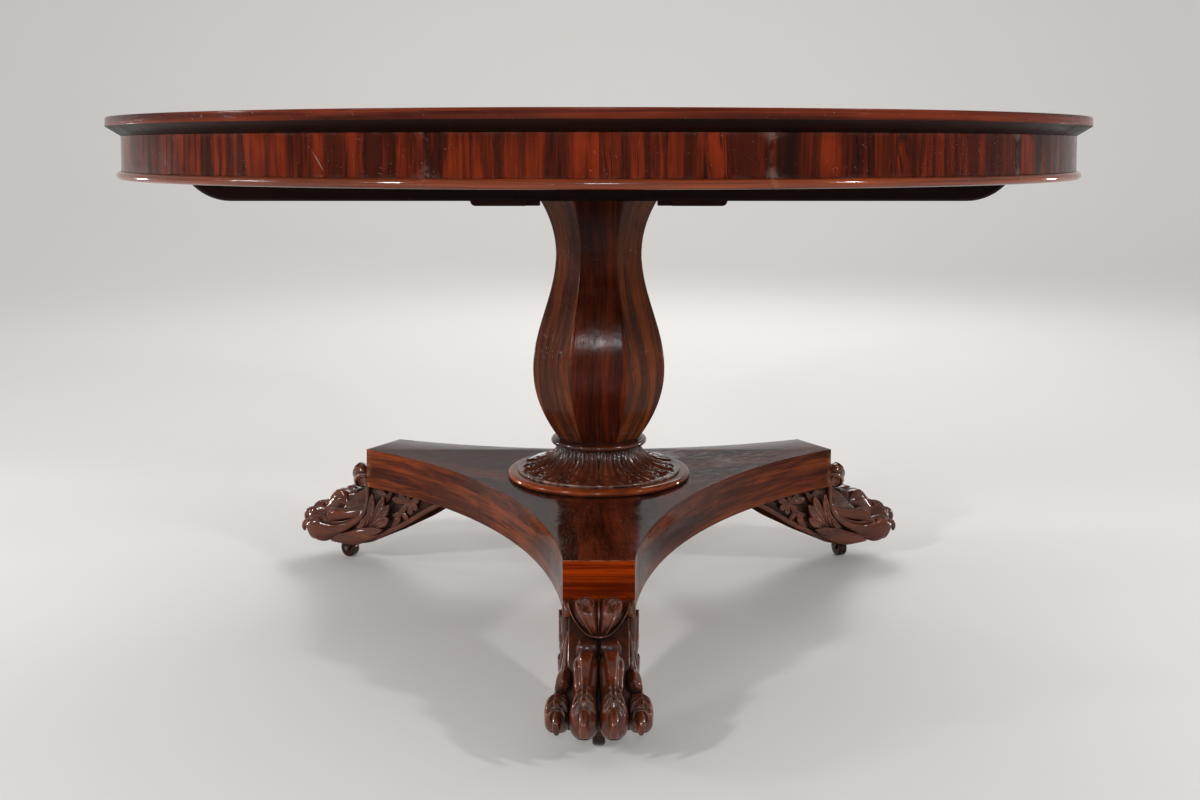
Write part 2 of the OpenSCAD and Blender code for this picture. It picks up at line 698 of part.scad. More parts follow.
// The bracket under the arm, with the shield that falls from the arm's end to the toes
module bracket() {
    under = [
        [-1.12, 0.993], [-0.996, 0.895], [-0.748, 0.685], [-0.52, 0.47], [-0.246, 0.254], [-0.037, 0.098],
        [0.1, 0.044], [0.243, 0.012], [0.426, -0.015]];
    front = [[0.556, -0.059], [0.589, 0.235], [0.361, 0.587], [0.165, 0.861], [0.061, 0.959]];
    steps = 10;
    translate([0, bracket_w / 2, 0]) rotate([90, 0, 0]) linear_extrude(bracket_w) polygon([
        for (i = [0 : steps]) let (p = along(under, i / steps)) [paw_u(p[0]), paw_z(p[1])],
        for (p = front) [paw_u(p[0]), paw_z(p[1])],
        [paw_u(0), platform_z + past], [paw_u(under[0][0]), platform_z + past]]);
    member([
        [0.035, 1.194, -0.018, 0.822, 0, 0.578], [0.106, 0.939, 0.087, 0.47, 0, 0.575],
        [0.282, 0.744, 0.23, 0.235, 0, 0.556]], 3, 10, 1.8);
}

// Four toes with their claws, the knuckles between them and the pad under them
module paw() {
    both_sides() {
        // A middle toe: knuckle, waist, second joint and pad
        member([
            [0.309, 0.705, 0.269, 0.333, 0.214, 0.159], [0.452, 0.802, 0.393, 0.117, 0.214, 0.203],
            [0.563, 0.788, 0.491, 0.039, 0.225, 0.235], [0.628, 0.734, 0.55, 0.01, 0.238, 0.244],
            [0.693, 0.636, 0.615, 0, 0.254, 0.213], [0.83, 0.489, 0.739, 0, 0.273, 0.244],
            [0.909, 0.342, 0.811, 0.029, 0.275, 0.241], [0.935, 0.259, 0.864, 0.038, 0.275, 0.17],
            [0.926, 0.171, 0.9, 0.106, 0.275, 0.063]], 8, 9);
        // The finger between the middle toe and the outer one
        member([
            [0.008, 0.832, -0.037, 0.744, 0.556, 0.063], [0.152, 0.621, 0.087, 0.47, 0.571, 0.103],
            [0.374, 0.553, 0.341, 0.313, 0.603, 0.14], [0.556, 0.538, 0.517, 0.157, 0.662, 0.162],
            [0.628, 0.46, 0.576, 0.117, 0.681, 0.137], [0.641, 0.372, 0.615, 0.196, 0.686, 0.063]], 4, 6);
        // The strap that runs down from the rolled leaf and swells into the outer toe
        member([
            [0.074, 1.213, -0.021, 1.115, 0.627, 0.067], [0.023, 0.861, -0.024, 0.841, 0.629, 0.073],
            [0.051, 0.656, -0.005, 0.636, 0.632, 0.076], [0.145, 0.504, 0.074, 0.44, 0.64, 0.087],
            [0.426, 0.347, 0.374, 0.147, 0.683, 0.135], [0.543, 0.357, 0.491, 0.054, 0.711, 0.183],
            [0.641, 0.367, 0.563, 0.008, 0.733, 0.222], [0.726, 0.342, 0.622, 0.004, 0.743, 0.232],
            [0.785, 0.264, 0.674, 0.024, 0.743, 0.219], [0.821, 0.181, 0.742, 0.027, 0.743, 0.156],
            [0.827, 0.108, 0.781, 0.047, 0.743, 0.057]], 10, 8, 1.3);
        // The small dome over the middle toe
        member([
            [0.243, 0.783, 0.217, 0.607, 0.194, 0.111], [0.289, 0.856, 0.256, 0.587, 0.194, 0.171],
            [0.348, 0.871, 0.309, 0.587, 0.194, 0.184], [0.4, 0.802, 0.374, 0.607, 0.194, 0.111]], 3, 7);
        claw([0.876, 0.401], [1.01, 0.152], 0.273);
        claw([0.759, 0.313], [0.87, 0.108], 0.743);
    }
    member([
        [0.002, 0.959, -0.024, 0.137, 0, 0.56], [0.309, 0.665, 0.295, -0.039, 0, 0.571],
        [0.609, 0.313, 0.596, -0.029, 0, 0.683], [0.68, 0.196, 0.661, -0.006, 0, 0.667]], 3, 8, 1.4);
}

// The leaf that rolls over in front of the arm: a shell cut to a U, with a stem, two lobes and the roll's ends
module rolled_leaf() {
    // The roll's middle and its outer half axes, its thickness and its half width, all as shares
    middle = [0.067, 0.94];
    outer = [0.215, 0.352];
    shell = 0.026;
    half = 0.587;
    columns = 8;
    turns = 5;
    skin([for (i = [0 : columns])
        let (across = 2 * i / columns - 1, low = 0.871 + 0.323 * across * across,
             start = 115, stop = asin((low - middle[1]) / outer[1]))
        [for (face = [0, 1], k = [0 : turns])
            let (t = face == 0 ? k / turns : 1 - k / turns, a = start + (stop - start) * t)
            [paw_u(middle[0]) + paw_l * (outer[0] - face * shell) * cos(a), paw_v(half * across),
             paw_z(middle[1]) + (foot_h * outer[1] - face * shell * paw_l) * sin(a)]]]);
    member([
        [0.145, 1.316, 0.132, 1.194, 0, 0.083], [0.256, 1.218, 0.219, 1.141, 0, 0.086],
        [0.305, 1.027, 0.256, 1.008, 0, 0.054], [0.302, 0.925, 0.267, 0.927, 0, 0.044]], 3, 6);
    both_sides() {
        member([
            [0.211, 1.296, 0.159, 1.204, 0.254, 0.167], [0.263, 1.257, 0.198, 1.174, 0.259, 0.206],
            [0.305, 1.184, 0.234, 1.115, 0.248, 0.213], [0.328, 1.057, 0.256, 1.052, 0.206, 0.184],
            [0.312, 0.934, 0.267, 0.959, 0.13, 0.117], [0.292, 0.89, 0.271, 0.914, 0.089, 0.063]], 4, 8);
        translate([paw_u(0.103), paw_v(0.52), paw_z(1.12)]) rotate([-90, 0, 0])
            cylinder(r = foot_h * 0.115, h = paw_v(0.165), $fn = 12);
    }
}

// Leaves that sweep back from the paw over the bracket's side, the lobe along the sole, and a flower
module side_leaves() both_sides() {
    for (vein = [
        [[0.074, 0.313], [-0.04, 0.46], [-0.037, 0.646], 0.079],
        [[0.028, 0.333], [-0.083, 0.577], [-0.089, 0.9], 0.127],
        [[-0.011, 0.323], [-0.192, 0.646], [-0.249, 0.89], 0.143],
        [[-0.024, 0.313], [-0.2, 0.563], [-0.33, 0.773], 0.14],
        [[-0.014, 0.279], [-0.181, 0.448], [-0.314, 0.553], 0.14],
        [[0.087, 0.274], [-0.096, 0.281], [-0.226, 0.357], 0.108]])
        leaf(vein[0], vein[1], vein[2], vein[3]);
    member([
        [-0.155, 0.298, -0.142, 0.215, 0.643, 0.04], [-0.07, 0.313, -0.063, 0.147, 0.648, 0.095],
        [0.132, 0.294, 0.139, 0.025, 0.656, 0.127], [0.282, 0.218, 0.282, 0.004, 0.656, 0.14],
        [0.459, 0.152, 0.459, 0.001, 0.643, 0.133], [0.517, 0.108, 0.504, 0.01, 0.635, 0.079]], 4, 6, 1.5);
    // The flower: petals round its heart, and three leaves below it
    heart = [-0.553, 0.832];
    for (petal = [
        [-0.35, 0.881, 0.111], [-0.474, 0.969, 0.111], [-0.689, 0.939, 0.111], [-0.676, 0.753, 0.111],
        [-0.487, 0.665, 0.111]])
        leaf(heart, (heart + [petal[0], petal[1]]) / 2, [petal[0], petal[1]], petal[2], [0.58, 0.66], 2);
    for (vein = [
        [[-0.468, 0.724], [-0.464, 0.646], [-0.553, 0.568], 0.087],
        [[-0.422, 0.636], [-0.399, 0.494], [-0.311, 0.411], 0.098]])
        leaf(vein[0], vein[1], vein[2], vein[3], [0.58, 0.64], 2);
}

module foot() color(mahogany) difference() {
    union() {
        bracket();
        paw();
        rolled_leaf();
        side_leaves();
    }
    // The platform's own place, and everything under the castor plate's level
    translate([0, -paw_w, platform_z - glue_gap]) cube([arm_reach + glue_gap, 2 * paw_w, platform_t]);
    translate([0, -paw_w, castor_h - foot_h]) cube([swivel_u + plate_d / 2 + 4, 2 * paw_w, foot_h]);
    translate([0, -paw_w, castor_h - 1.7 - foot_h]) cube([arm_reach + 2 * paw_l, 2 * paw_w, foot_h]);
    translate([swivel_u, 0, castor_h - 1]) cylinder(d = stem_d + 1, h = stem_l, $fn = 20);
    castor_screw_places() translate([0, 0, castor_h - 1]) cylinder(d = small_screw_d + ease_d, h = small_screw_bite + 3, $fn = 12);
    foot_screw_places() {
        translate([0, 0, -foot_h]) cylinder(d = screw_d + 2 * ease_d, h = foot_h + past, $fn = 15);
        translate([0, 0, -foot_h - foot_screw_under]) cylinder(d = screw_head_d + 4 * ease_d, h = foot_h, $fn = 16);
    }
}

module foot_front() at_foot(0) foot();
module foot_left() at_foot(1) foot();
module foot_right() at_foot(2) foot();

// The castors

module castor_screw_places() for (turn = [0, 120, 240])
    translate([swivel_u, 0, 0]) rotate([0, 0, turn + 60]) translate([castor_screw_r, 0, 0]) children();

module castor_plate() color(brass) difference() {
    translate([swivel_u, 0, plate_z]) cylinder(d = plate_d, h = plate_t, $fn = 48);
    translate([swivel_u, 0, plate_z - 1]) cylinder(d = stem_d + 2 * shaft_gap, h = plate_t + 2, $fn = 36);
    castor_screw_places() translate([0, 0, plate_z - 1]) cylinder(d = small_screw_d + 0.3, h = plate_t + 2, $fn = 24);
}

module castor_screws() color(brass) for (i = [0 : 2]) at_foot(i) castor_screw_places()
    translate([0, 0, plate_z]) cylinder(d = small_screw_d, h = 13, $fn = 24);

// A castor's own frame: its Z axis is the swivel axis, and it trails along +X
module at_castor(i) at_foot(i) translate([swivel_u, 0, 0]) rotate([0, 0, castor_turn[i]]) children();

// The horn: a crown with its stem, and two cheeks that carry the axle behind the swivel axis
module castor_horn() color(brass) difference() {
    cheek_y = wheel_w / 2 + run_gap;
    union() {
        translate([0, 0, crown_z]) cylinder(d = 2 * (cheek_y + cheek_t), h = plate_z - run_gap - crown_z, $fn = 48);
        translate([0, 0, crown_z + 1]) cylinder(d = stem_d, h = plate_z - crown_z + stem_l - 3, $fn = 36);
        both_sides() translate([0, cheek_y + cheek_t, 0]) rotate([90, 0, 0]) linear_extrude(cheek_t) {
            polygon([[-axle_d, plate_z - run_gap], [trail + axle_d, plate_z - run_gap],
                     [trail + axle_d, axle_z], [trail - axle_d, axle_z]]);
            translate([trail, axle_z]) circle(r = axle_d, $fn = 36);
        }
    }
    translate([trail, cheek_y + cheek_t + 1, axle_z]) rotate([90, 0, 0])
        cylinder(d = axle_d + 2 * shaft_gap, h = 2 * (cheek_y + cheek_t) + 2, $fn = 36);
}

module castor_wheel() color(brass) translate([trail, 0, axle_z]) rotate([90, 0, 0])
    translate([0, 0, -wheel_w / 2]) difference() {
        edge = 3;
        rotate_extrude($fn = 72) {
            translate([0, edge]) square([wheel_d / 2, wheel_w - 2 * edge]);
            square([wheel_d / 2 - edge, wheel_w]);
            for (z = [edge, wheel_w - edge]) translate([wheel_d / 2 - edge, z]) circle(r = edge, $fn = 36);
        }
        translate([0, 0, -1]) cylinder(d = axle_d + 2 * shaft_gap, h = wheel_w + 2, $fn = 36);
    }

module castor_axle() color(steel) translate([trail, 0, axle_z]) rotate([90, 0, 0]) {
    half = wheel_w / 2 + run_gap + cheek_t;
    head_t = 1.2;
    cylinder(d = axle_d, h = 2 * half + head_t, center = true, $fn = 36);
    for (side = [0, 1]) mirror([0, 0, side]) translate([0, 0, half + shaft_gap])
        cylinder(d1 = axle_d + 2, d2 = axle_d - 1, h = head_t, $fn = 36);
}

module castor_plate_front() at_foot(0) castor_plate();
module castor_plate_left() at_foot(1) castor_plate();
module castor_plate_right() at_foot(2) castor_plate();
module castor_horn_front() at_castor(0) castor_horn();
module castor_horn_left() at_castor(1) castor_horn();
module castor_horn_right() at_castor(2) castor_horn();
module castor_wheel_front() at_castor(0) castor_wheel();
module castor_wheel_left() at_castor(1) castor_wheel();
module castor_wheel_right() at_castor(2) castor_wheel();
module castor_axle_front() at_castor(0) castor_axle();
module castor_axle_left() at_castor(1) castor_axle();
module castor_axle_right() at_castor(2) castor_axle();

top_panel();
frieze();
bead_moulding();
glue_blocks();
bearer_front();
bearer_rear();
bearer_screws();
pivot_pins();
catch_case();
catch_screws();
catch_bolt();
head_block();
catch_keep();
keep_screws();
head_cleats();
cleat_screws();
column();
tenon_wedges();
column_ring();
carved_collar();
collar_plinth();
platform();
foot_front();
foot_left();
foot_right();
foot_screws();
castor_plate_front();
castor_plate_left();
castor_plate_right();
castor_screws();
castor_horn_front();
castor_horn_left();
castor_horn_right();
castor_wheel_front();
castor_wheel_left();
castor_wheel_right();
castor_axle_front();
castor_axle_left();
castor_axle_right();
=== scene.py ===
"""Dresses a round tilt-top centre table in rosewood veneers, carved mahogany and old brass.

Lengths are in metres, but for the carver's own frame of a foot, which is in millimetres.
"""

import sys
import logging
import math
from dataclasses import dataclass
from enum import Enum
from typing import Callable, Iterable, Optional, Sequence

import bpy
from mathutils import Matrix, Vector
import numpy as np


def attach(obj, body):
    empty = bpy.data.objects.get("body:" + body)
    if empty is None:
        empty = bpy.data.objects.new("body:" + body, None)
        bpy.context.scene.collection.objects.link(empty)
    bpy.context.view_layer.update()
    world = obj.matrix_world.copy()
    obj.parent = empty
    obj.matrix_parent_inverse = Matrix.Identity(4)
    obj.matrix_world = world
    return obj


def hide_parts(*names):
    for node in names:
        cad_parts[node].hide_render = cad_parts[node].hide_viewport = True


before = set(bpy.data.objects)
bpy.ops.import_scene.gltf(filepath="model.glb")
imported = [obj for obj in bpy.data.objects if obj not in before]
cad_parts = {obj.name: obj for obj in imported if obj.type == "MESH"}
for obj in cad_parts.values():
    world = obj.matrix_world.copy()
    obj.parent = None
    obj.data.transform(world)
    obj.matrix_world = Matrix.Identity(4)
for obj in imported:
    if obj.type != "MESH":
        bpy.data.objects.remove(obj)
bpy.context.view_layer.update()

log = logging.getLogger("centre_table")
Array = np.ndarray
Colour = tuple[float, float, float]
MM = 0.001
FLAT_STEP = math.pi / 4
ARM_STEP = math.tau / 3
FRIEZE_RADIUS = 0.67
LEAF_SHIFT = (0.37, 0.21)
FLAT_SHIFT = (1.37, 0.61)
ARM_SHIFT = 2.3
SIDE_LIMIT = 0.7
UNDER_LIMIT = -0.2
SOLE_LIMIT = -0.7
FOOT_TURNS = {"front": -90.0, "left": 150.0, "right": 30.0}


# Surfaces worked out as arrays


@dataclass
class Surface:
    """Points, the corners of every face in one row, and how many corners each face has."""

    points: Array
    corners: Array
    sizes: Array

    def moved(self, place: Callable[[Array], Array]) -> "Surface":
        """The same faces on points that place has moved."""
        return Surface(place(self.points), self.corners, self.sizes)

    def turned_out(self) -> "Surface":
        """The surface with its faces pointing out, judged by the sign of the volume that it closes.

        Returns:
            The surface, its faces' corners in reverse order if they pointed in.
        """
        starts = np.concatenate([[0], np.cumsum(self.sizes)[:-1]])
        first = np.repeat(self.corners[starts], self.sizes)
        following = np.arange(len(self.corners)) + 1
        ends = starts + self.sizes - 1
        following[ends] = starts
        a, b, c = self.points[first], self.points[self.corners], self.points[self.corners[following]]
        volume = np.einsum("ij,ij->", a, np.cross(b, c))
        if volume >= 0:
            return self
        order = np.arange(len(self.corners))
        within = order - np.repeat(starts, self.sizes)
        back = np.repeat(starts + self.sizes - 1, self.sizes) - within
        return Surface(self.points, self.corners[back], self.sizes)


def joined(surfaces: Iterable[Surface]) -> Surface:
    """Several surfaces as one.

    Args:
        surfaces: the surfaces, each with its own points.

    Returns:
        One surface that holds them all.
    """
    surfaces = list(surfaces)
    shifts = np.cumsum([0] + [len(s.points) for s in surfaces[:-1]])
    return Surface(
        np.concatenate([s.points for s in surfaces]),
        np.concatenate([s.corners + shift for s, shift in zip(surfaces, shifts)]),
        np.concatenate([s.sizes for s in surfaces]),
    )


def grid_surface(rows: Array, ring: bool = True, loop: bool = False, caps: str = "pole") -> Surface:
    """A surface over a grid of points: quads between neighbouring rows and columns.

    Args:
        rows: points of shape (rows, columns, 3).
        ring: the last column joins the first.
        loop: the last row joins the first, as on a ring-shaped piece.
        caps: "pole" closes each end row on its middle point, "flat" with one face, "none" leaves it open.

    Returns:
        The surface, with its faces pointing out.
    """
    m, n = rows.shape[:2]
    index = np.arange(m * n).reshape(m, n)
    down = np.concatenate([index, index[:1]]) if loop else index
    across = np.concatenate([down, down[:, :1]], axis=1) if ring else down
    quads = np.stack([across[:-1, :-1], across[:-1, 1:], across[1:, 1:], across[1:, :-1]],
                     axis=-1).reshape(-1, 4)
    points = [rows.reshape(-1, 3)]
    corners = [quads.ravel()]
    sizes = [np.full(len(quads), 4)]
    if not loop and caps == "pole":
        poles = np.stack([rows[0].mean(axis=0), rows[-1].mean(axis=0)])
        points.append(poles)
        for row, pole, forward in ((index[0], m * n, False), (index[-1], m * n + 1, True)):
            following = np.roll(row, -1)
            fan = (row, following, np.full(n, pole)) if forward else (following, row, np.full(n, pole))
            corners.append(np.stack(fan, axis=1).ravel())
            sizes.append(np.full(n, 3))
    if not loop and caps == "flat":
        corners += [index[0][::-1], index[-1]]
        sizes += [np.array([n]), np.array([n])]
    return Surface(np.concatenate(points), np.concatenate(corners), np.concatenate(sizes)).turned_out()


def revolved(profile: Array, columns: int, start: float = 0.0, sweep: float = 360.0,
             loop: bool = True) -> Surface:
    """A profile of (radius, height) points carried round the Z axis.

    Args:
        profile: points of shape (rows, 2), a closed outline with loop, otherwise a line from axis to axis.
        columns: steps round the axis.
        start: where the sweep starts, in degrees.
        sweep: how far it goes, in degrees. A part turn gets flat ends.
        loop: the profile is a closed outline.

    Returns:
        The surface.
    """
    whole = sweep >= 360
    angles = np.radians(start + sweep * np.arange(columns + (0 if whole else 1)) / columns)
    r, z = profile[:, :1], profile[:, 1:]
    rows = np.stack([r * np.cos(angles), r * np.sin(angles), z + 0 * angles], axis=-1)
    if whole:
        return grid_surface(rows, ring=True, loop=loop)
    return grid_surface(rows.swapaxes(0, 1), ring=True, caps="flat")


def rounded_corner(at: Sequence[float], from_: float, to: float, radius: float, steps: int = 4) -> Array:
    """Points on a small arc round a centre, from one direction to another, in degrees."""
    a = np.radians(np.linspace(from_, to, steps + 1))
    return np.stack([at[0] + radius * np.cos(a), at[1] + radius * np.sin(a)], axis=1)


def full_turn(count: int) -> Array:
    """Angles all round a circle, from 0, in radians."""
    return np.linspace(0, 2 * np.pi, count, endpoint=False)


def swell(value: Array, width: float, power: int = 2) -> Array:
    """A smooth hump: 1 where the value is 0, and near 0 past the width. A higher power squares it."""
    return np.exp(-((value / width) ** power))


def ramp(value: Array, length: float) -> Array:
    """A straight rise from 0 to 1 over a length, level before and after it."""
    return np.clip(value / length, 0, 1)


def inset(outline: Array, distance: float) -> Array:
    """A closed outline, drawn counter-clockwise, moved inwards along the mitre at each point.

    Args:
        outline: points of shape (n, 2), counter-clockwise.
        distance: how far in, in the outline's unit.

    Returns:
        The moved outline.
    """
    back = outline - np.roll(outline, 1, axis=0)
    forth = np.roll(outline, -1, axis=0) - outline
    back /= np.linalg.norm(back, axis=1, keepdims=True)
    forth /= np.linalg.norm(forth, axis=1, keepdims=True)
    inward_a = np.stack([-back[:, 1], back[:, 0]], axis=1)
    inward_b = np.stack([-forth[:, 1], forth[:, 0]], axis=1)
    mitre = inward_a + inward_b
    mitre /= np.maximum(np.einsum("ij,ij->i", mitre, inward_a), 0.3)[:, None]
    return outline + distance * mitre


def plate(outline: Array, low: float, high: float, edge: float, steps: int = 3) -> Surface:
    """A closed outline raised to a plate whose two edges are rounded by a quarter circle.

    Args:
        outline: points (n, 2), counter-clockwise.
        low: height of the lower face.
        high: height of the upper face.
        edge: radius of the rounded edges.
        steps: steps round each edge.

    Returns:
        The plate, with flat faces above and below.
    """
    turn = np.radians(np.linspace(0, 90, steps + 1))
    inward = edge * (1 - np.sin(turn))
    rise = edge * (1 - np.cos(turn))
    rows = [np.column_stack([inset(outline, i), np.full(len(outline), low + r)])
            for i, r in zip(inward, rise)]
    rows += [np.column_stack([inset(outline, i), np.full(len(outline), high - r)])
             for i, r in zip(inward[::-1], rise[::-1])]
    return grid_surface(np.array(rows), caps="flat")


def through(places: Array, shares: Array) -> Array:
    """A smooth curve through a list of places: a Catmull-Rom curve, at the given shares of its length.

    Args:
        places: (count, values), of any number of values a place.
        shares: where to read the curve, each from 0 to 1.

    Returns:
        The values there, one row for each share.
    """
    count = len(places) - 1
    k = np.clip(np.floor(shares * count).astype(int), 0, count - 1)
    f = (shares * count - k)[:, None]
    a, b = places[np.maximum(k - 1, 0)], places[k]
    c, d = places[k + 1], places[np.minimum(k + 2, count)]
    return 0.5 * (2 * b + (c - a) * f + (2 * a - 5 * b + 4 * c - d) * f**2 + (3 * b - a - 3 * c + d) * f**3)


def piece(name: str, surface: Surface, material: bpy.types.Material, body: str,
          stands_for: Sequence[str] = (), sharp: Optional[float] = 35.0) -> bpy.types.Object:
    """A Blender object from a surface, dressed and riding on its body.

    Args:
        name: the object's name.
        surface: its mesh, in the table's own frame.
        material: its finish.
        body: the body that it moves with.
        stands_for: the nodes that it replaces.
        sharp: edges that turn by more than this many degrees stay crisp.

    Returns:
        The object.
    """
    mesh = bpy.data.meshes.new(name)
    mesh.vertices.add(len(surface.points))
    mesh.vertices.foreach_set("co", surface.points.astype(np.float32).ravel())
    mesh.loops.add(len(surface.corners))
    mesh.loops.foreach_set("vertex_index", surface.corners.astype(np.int32))
    mesh.polygons.add(len(surface.sizes))
    starts = np.concatenate([[0], np.cumsum(surface.sizes)[:-1]])
    mesh.polygons.foreach_set("loop_start", starts.astype(np.int32))
    mesh.update(calc_edges=True)
    mesh.validate()
    mesh.shade_smooth()
    if sharp is not None:
        mesh.set_sharp_from_angle(angle=math.radians(sharp))
    mesh.materials.append(material)
    made = bpy.data.objects.new(name, mesh)
    bpy.context.scene.collection.objects.link(made)
    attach(made, body)
    if stands_for:
        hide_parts(*stands_for)
    log.info("%s: %d faces on %s", name, len(mesh.polygons), body)
    return made


# Shader groups


class Nodes:
    """A short hand for building one node tree."""

    def __init__(self, tree: bpy.types.NodeTree) -> None:
        """Keeps the tree that the nodes go into."""
        self.tree = tree

    def add(self, kind: str, inputs: Optional[dict] = None, **settings: object) -> bpy.types.Node:
        """A node with its settings, its inputs set to values or linked to sockets.

        Args:
            kind: Blender's name for the node.
            inputs: input name or index to a value or a socket.
            settings: the node's own properties.

        Returns:
            The node.
        """
        made = self.tree.nodes.new(kind)
        for key, value in settings.items():
            setattr(made, key, value)
        for key, value in (inputs or {}).items():
            if isinstance(value, bpy.types.NodeSocket):
                self.tree.links.new(value, made.inputs[key])
            else:
                made.inputs[key].default_value = value
        return made

    def math(self, operation: str, a: object, b: object = 0.0, clamp: bool = False) -> bpy.types.NodeSocket:
        """The result of one sum on two values or sockets."""
        return self.add("ShaderNodeMath", {0: a, 1: b}, operation=operation, use_clamp=clamp).outputs[0]

    def times(self, a: object, b: object, clamp: bool = False) -> bpy.types.NodeSocket:
        """The product of two values or sockets."""
        return self.math("MULTIPLY", a, b, clamp)

    def plus(self, a: object, b: object, clamp: bool = False) -> bpy.types.NodeSocket:
        """The sum of two values or sockets."""
        return self.math("ADD", a, b, clamp)

    def minus(self, a: object, b: object) -> bpy.types.NodeSocket:
        """The first value or socket less the second."""
        return self.math("SUBTRACT", a, b)

    def noise(self, vector: object, scale: float, detail: float, roughness: float = 0.55,
              distortion: float = 0.0) -> bpy.types.NodeSocket:
        """Fractal noise from 0 to 1."""
        return self.add("ShaderNodeTexNoise", {"Vector": vector, "Scale": scale, "Detail": detail,
                        "Roughness": roughness, "Distortion": distortion}).outputs["Fac"]

    def stretch(self, vector: object, scale: Sequence[float],
                shift: Sequence[float] = (0, 0, 0)) -> bpy.types.NodeSocket:
        """The vector with each axis scaled and shifted."""
        return self.add("ShaderNodeMapping", {"Vector": vector, "Scale": tuple(scale),
                        "Location": tuple(shift)}).outputs[0]

    def span(self, value: object, low: float, high: float, to_low: float = 0.0,
             to_high: float = 1.0) -> bpy.types.NodeSocket:
        """The value carried from one range to another, clamped, with a smooth start and end.

        Args:
            value: a value or a socket.
            low: where the first range starts.
            high: where it ends.
            to_low: where the second range starts.
            to_high: where it ends.

        Returns:
            The result's socket.
        """
        return self.add("ShaderNodeMapRange",
                        {"Value": value, "From Min": low, "From Max": high, "To Min": to_low,
                        "To Max": to_high}, interpolation_type="SMOOTHSTEP").outputs[0]

    def mix(self, share: object, a: object, b: object, blend: str = "MIX") -> bpy.types.NodeSocket:
        """Two colours mixed.

        Args:
            share: how much of the second colour.
            a: the first colour.
            b: the second colour.
            blend: Blender's name for the way of mixing.

        Returns:
            The mixed colour's socket.
        """
        made = self.tree.nodes.new("ShaderNodeMix")
        made.data_type = "RGBA"
        made.blend_type = blend
        made.clamp_factor = True
        for socket, value in ((made.inputs[0], share), (made.inputs[6], a), (made.inputs[7], b)):
            if isinstance(value, bpy.types.NodeSocket):
                self.tree.links.new(value, socket)
            else:
                socket.default_value = value if isinstance(value, (int, float)) else (*value, 1.0)
        return made.outputs[2]


GroupParts = tuple[bpy.types.NodeTree, Nodes, bpy.types.bpy_prop_collection, bpy.types.bpy_prop_collection]


def new_group(name: str, takes: Sequence[tuple[str, str, object]],
              gives: Sequence[tuple[str, str]]) -> GroupParts:
    """A shader group with named sockets.

    Args:
        name: the group's name.
        takes: (name, socket type, value at first) of each input.
        gives: (name, socket type) of each output.

    Returns:
        The group, its builder, the sockets that it is given and the sockets that it gives out.
    """
    group = bpy.data.node_groups.new(name, "ShaderNodeTree")
    for socket_name, kind, value in takes:
        socket = group.interface.new_socket(socket_name, in_out="INPUT", socket_type=kind)
        if value is not None:
            socket.default_value = value
    for socket_name, kind in gives:
        group.interface.new_socket(socket_name, in_out="OUTPUT", socket_type=kind)
    given = group.nodes.new("NodeGroupInput").outputs
    out = group.nodes.new("NodeGroupOutput").inputs
    return group, Nodes(group), given, out


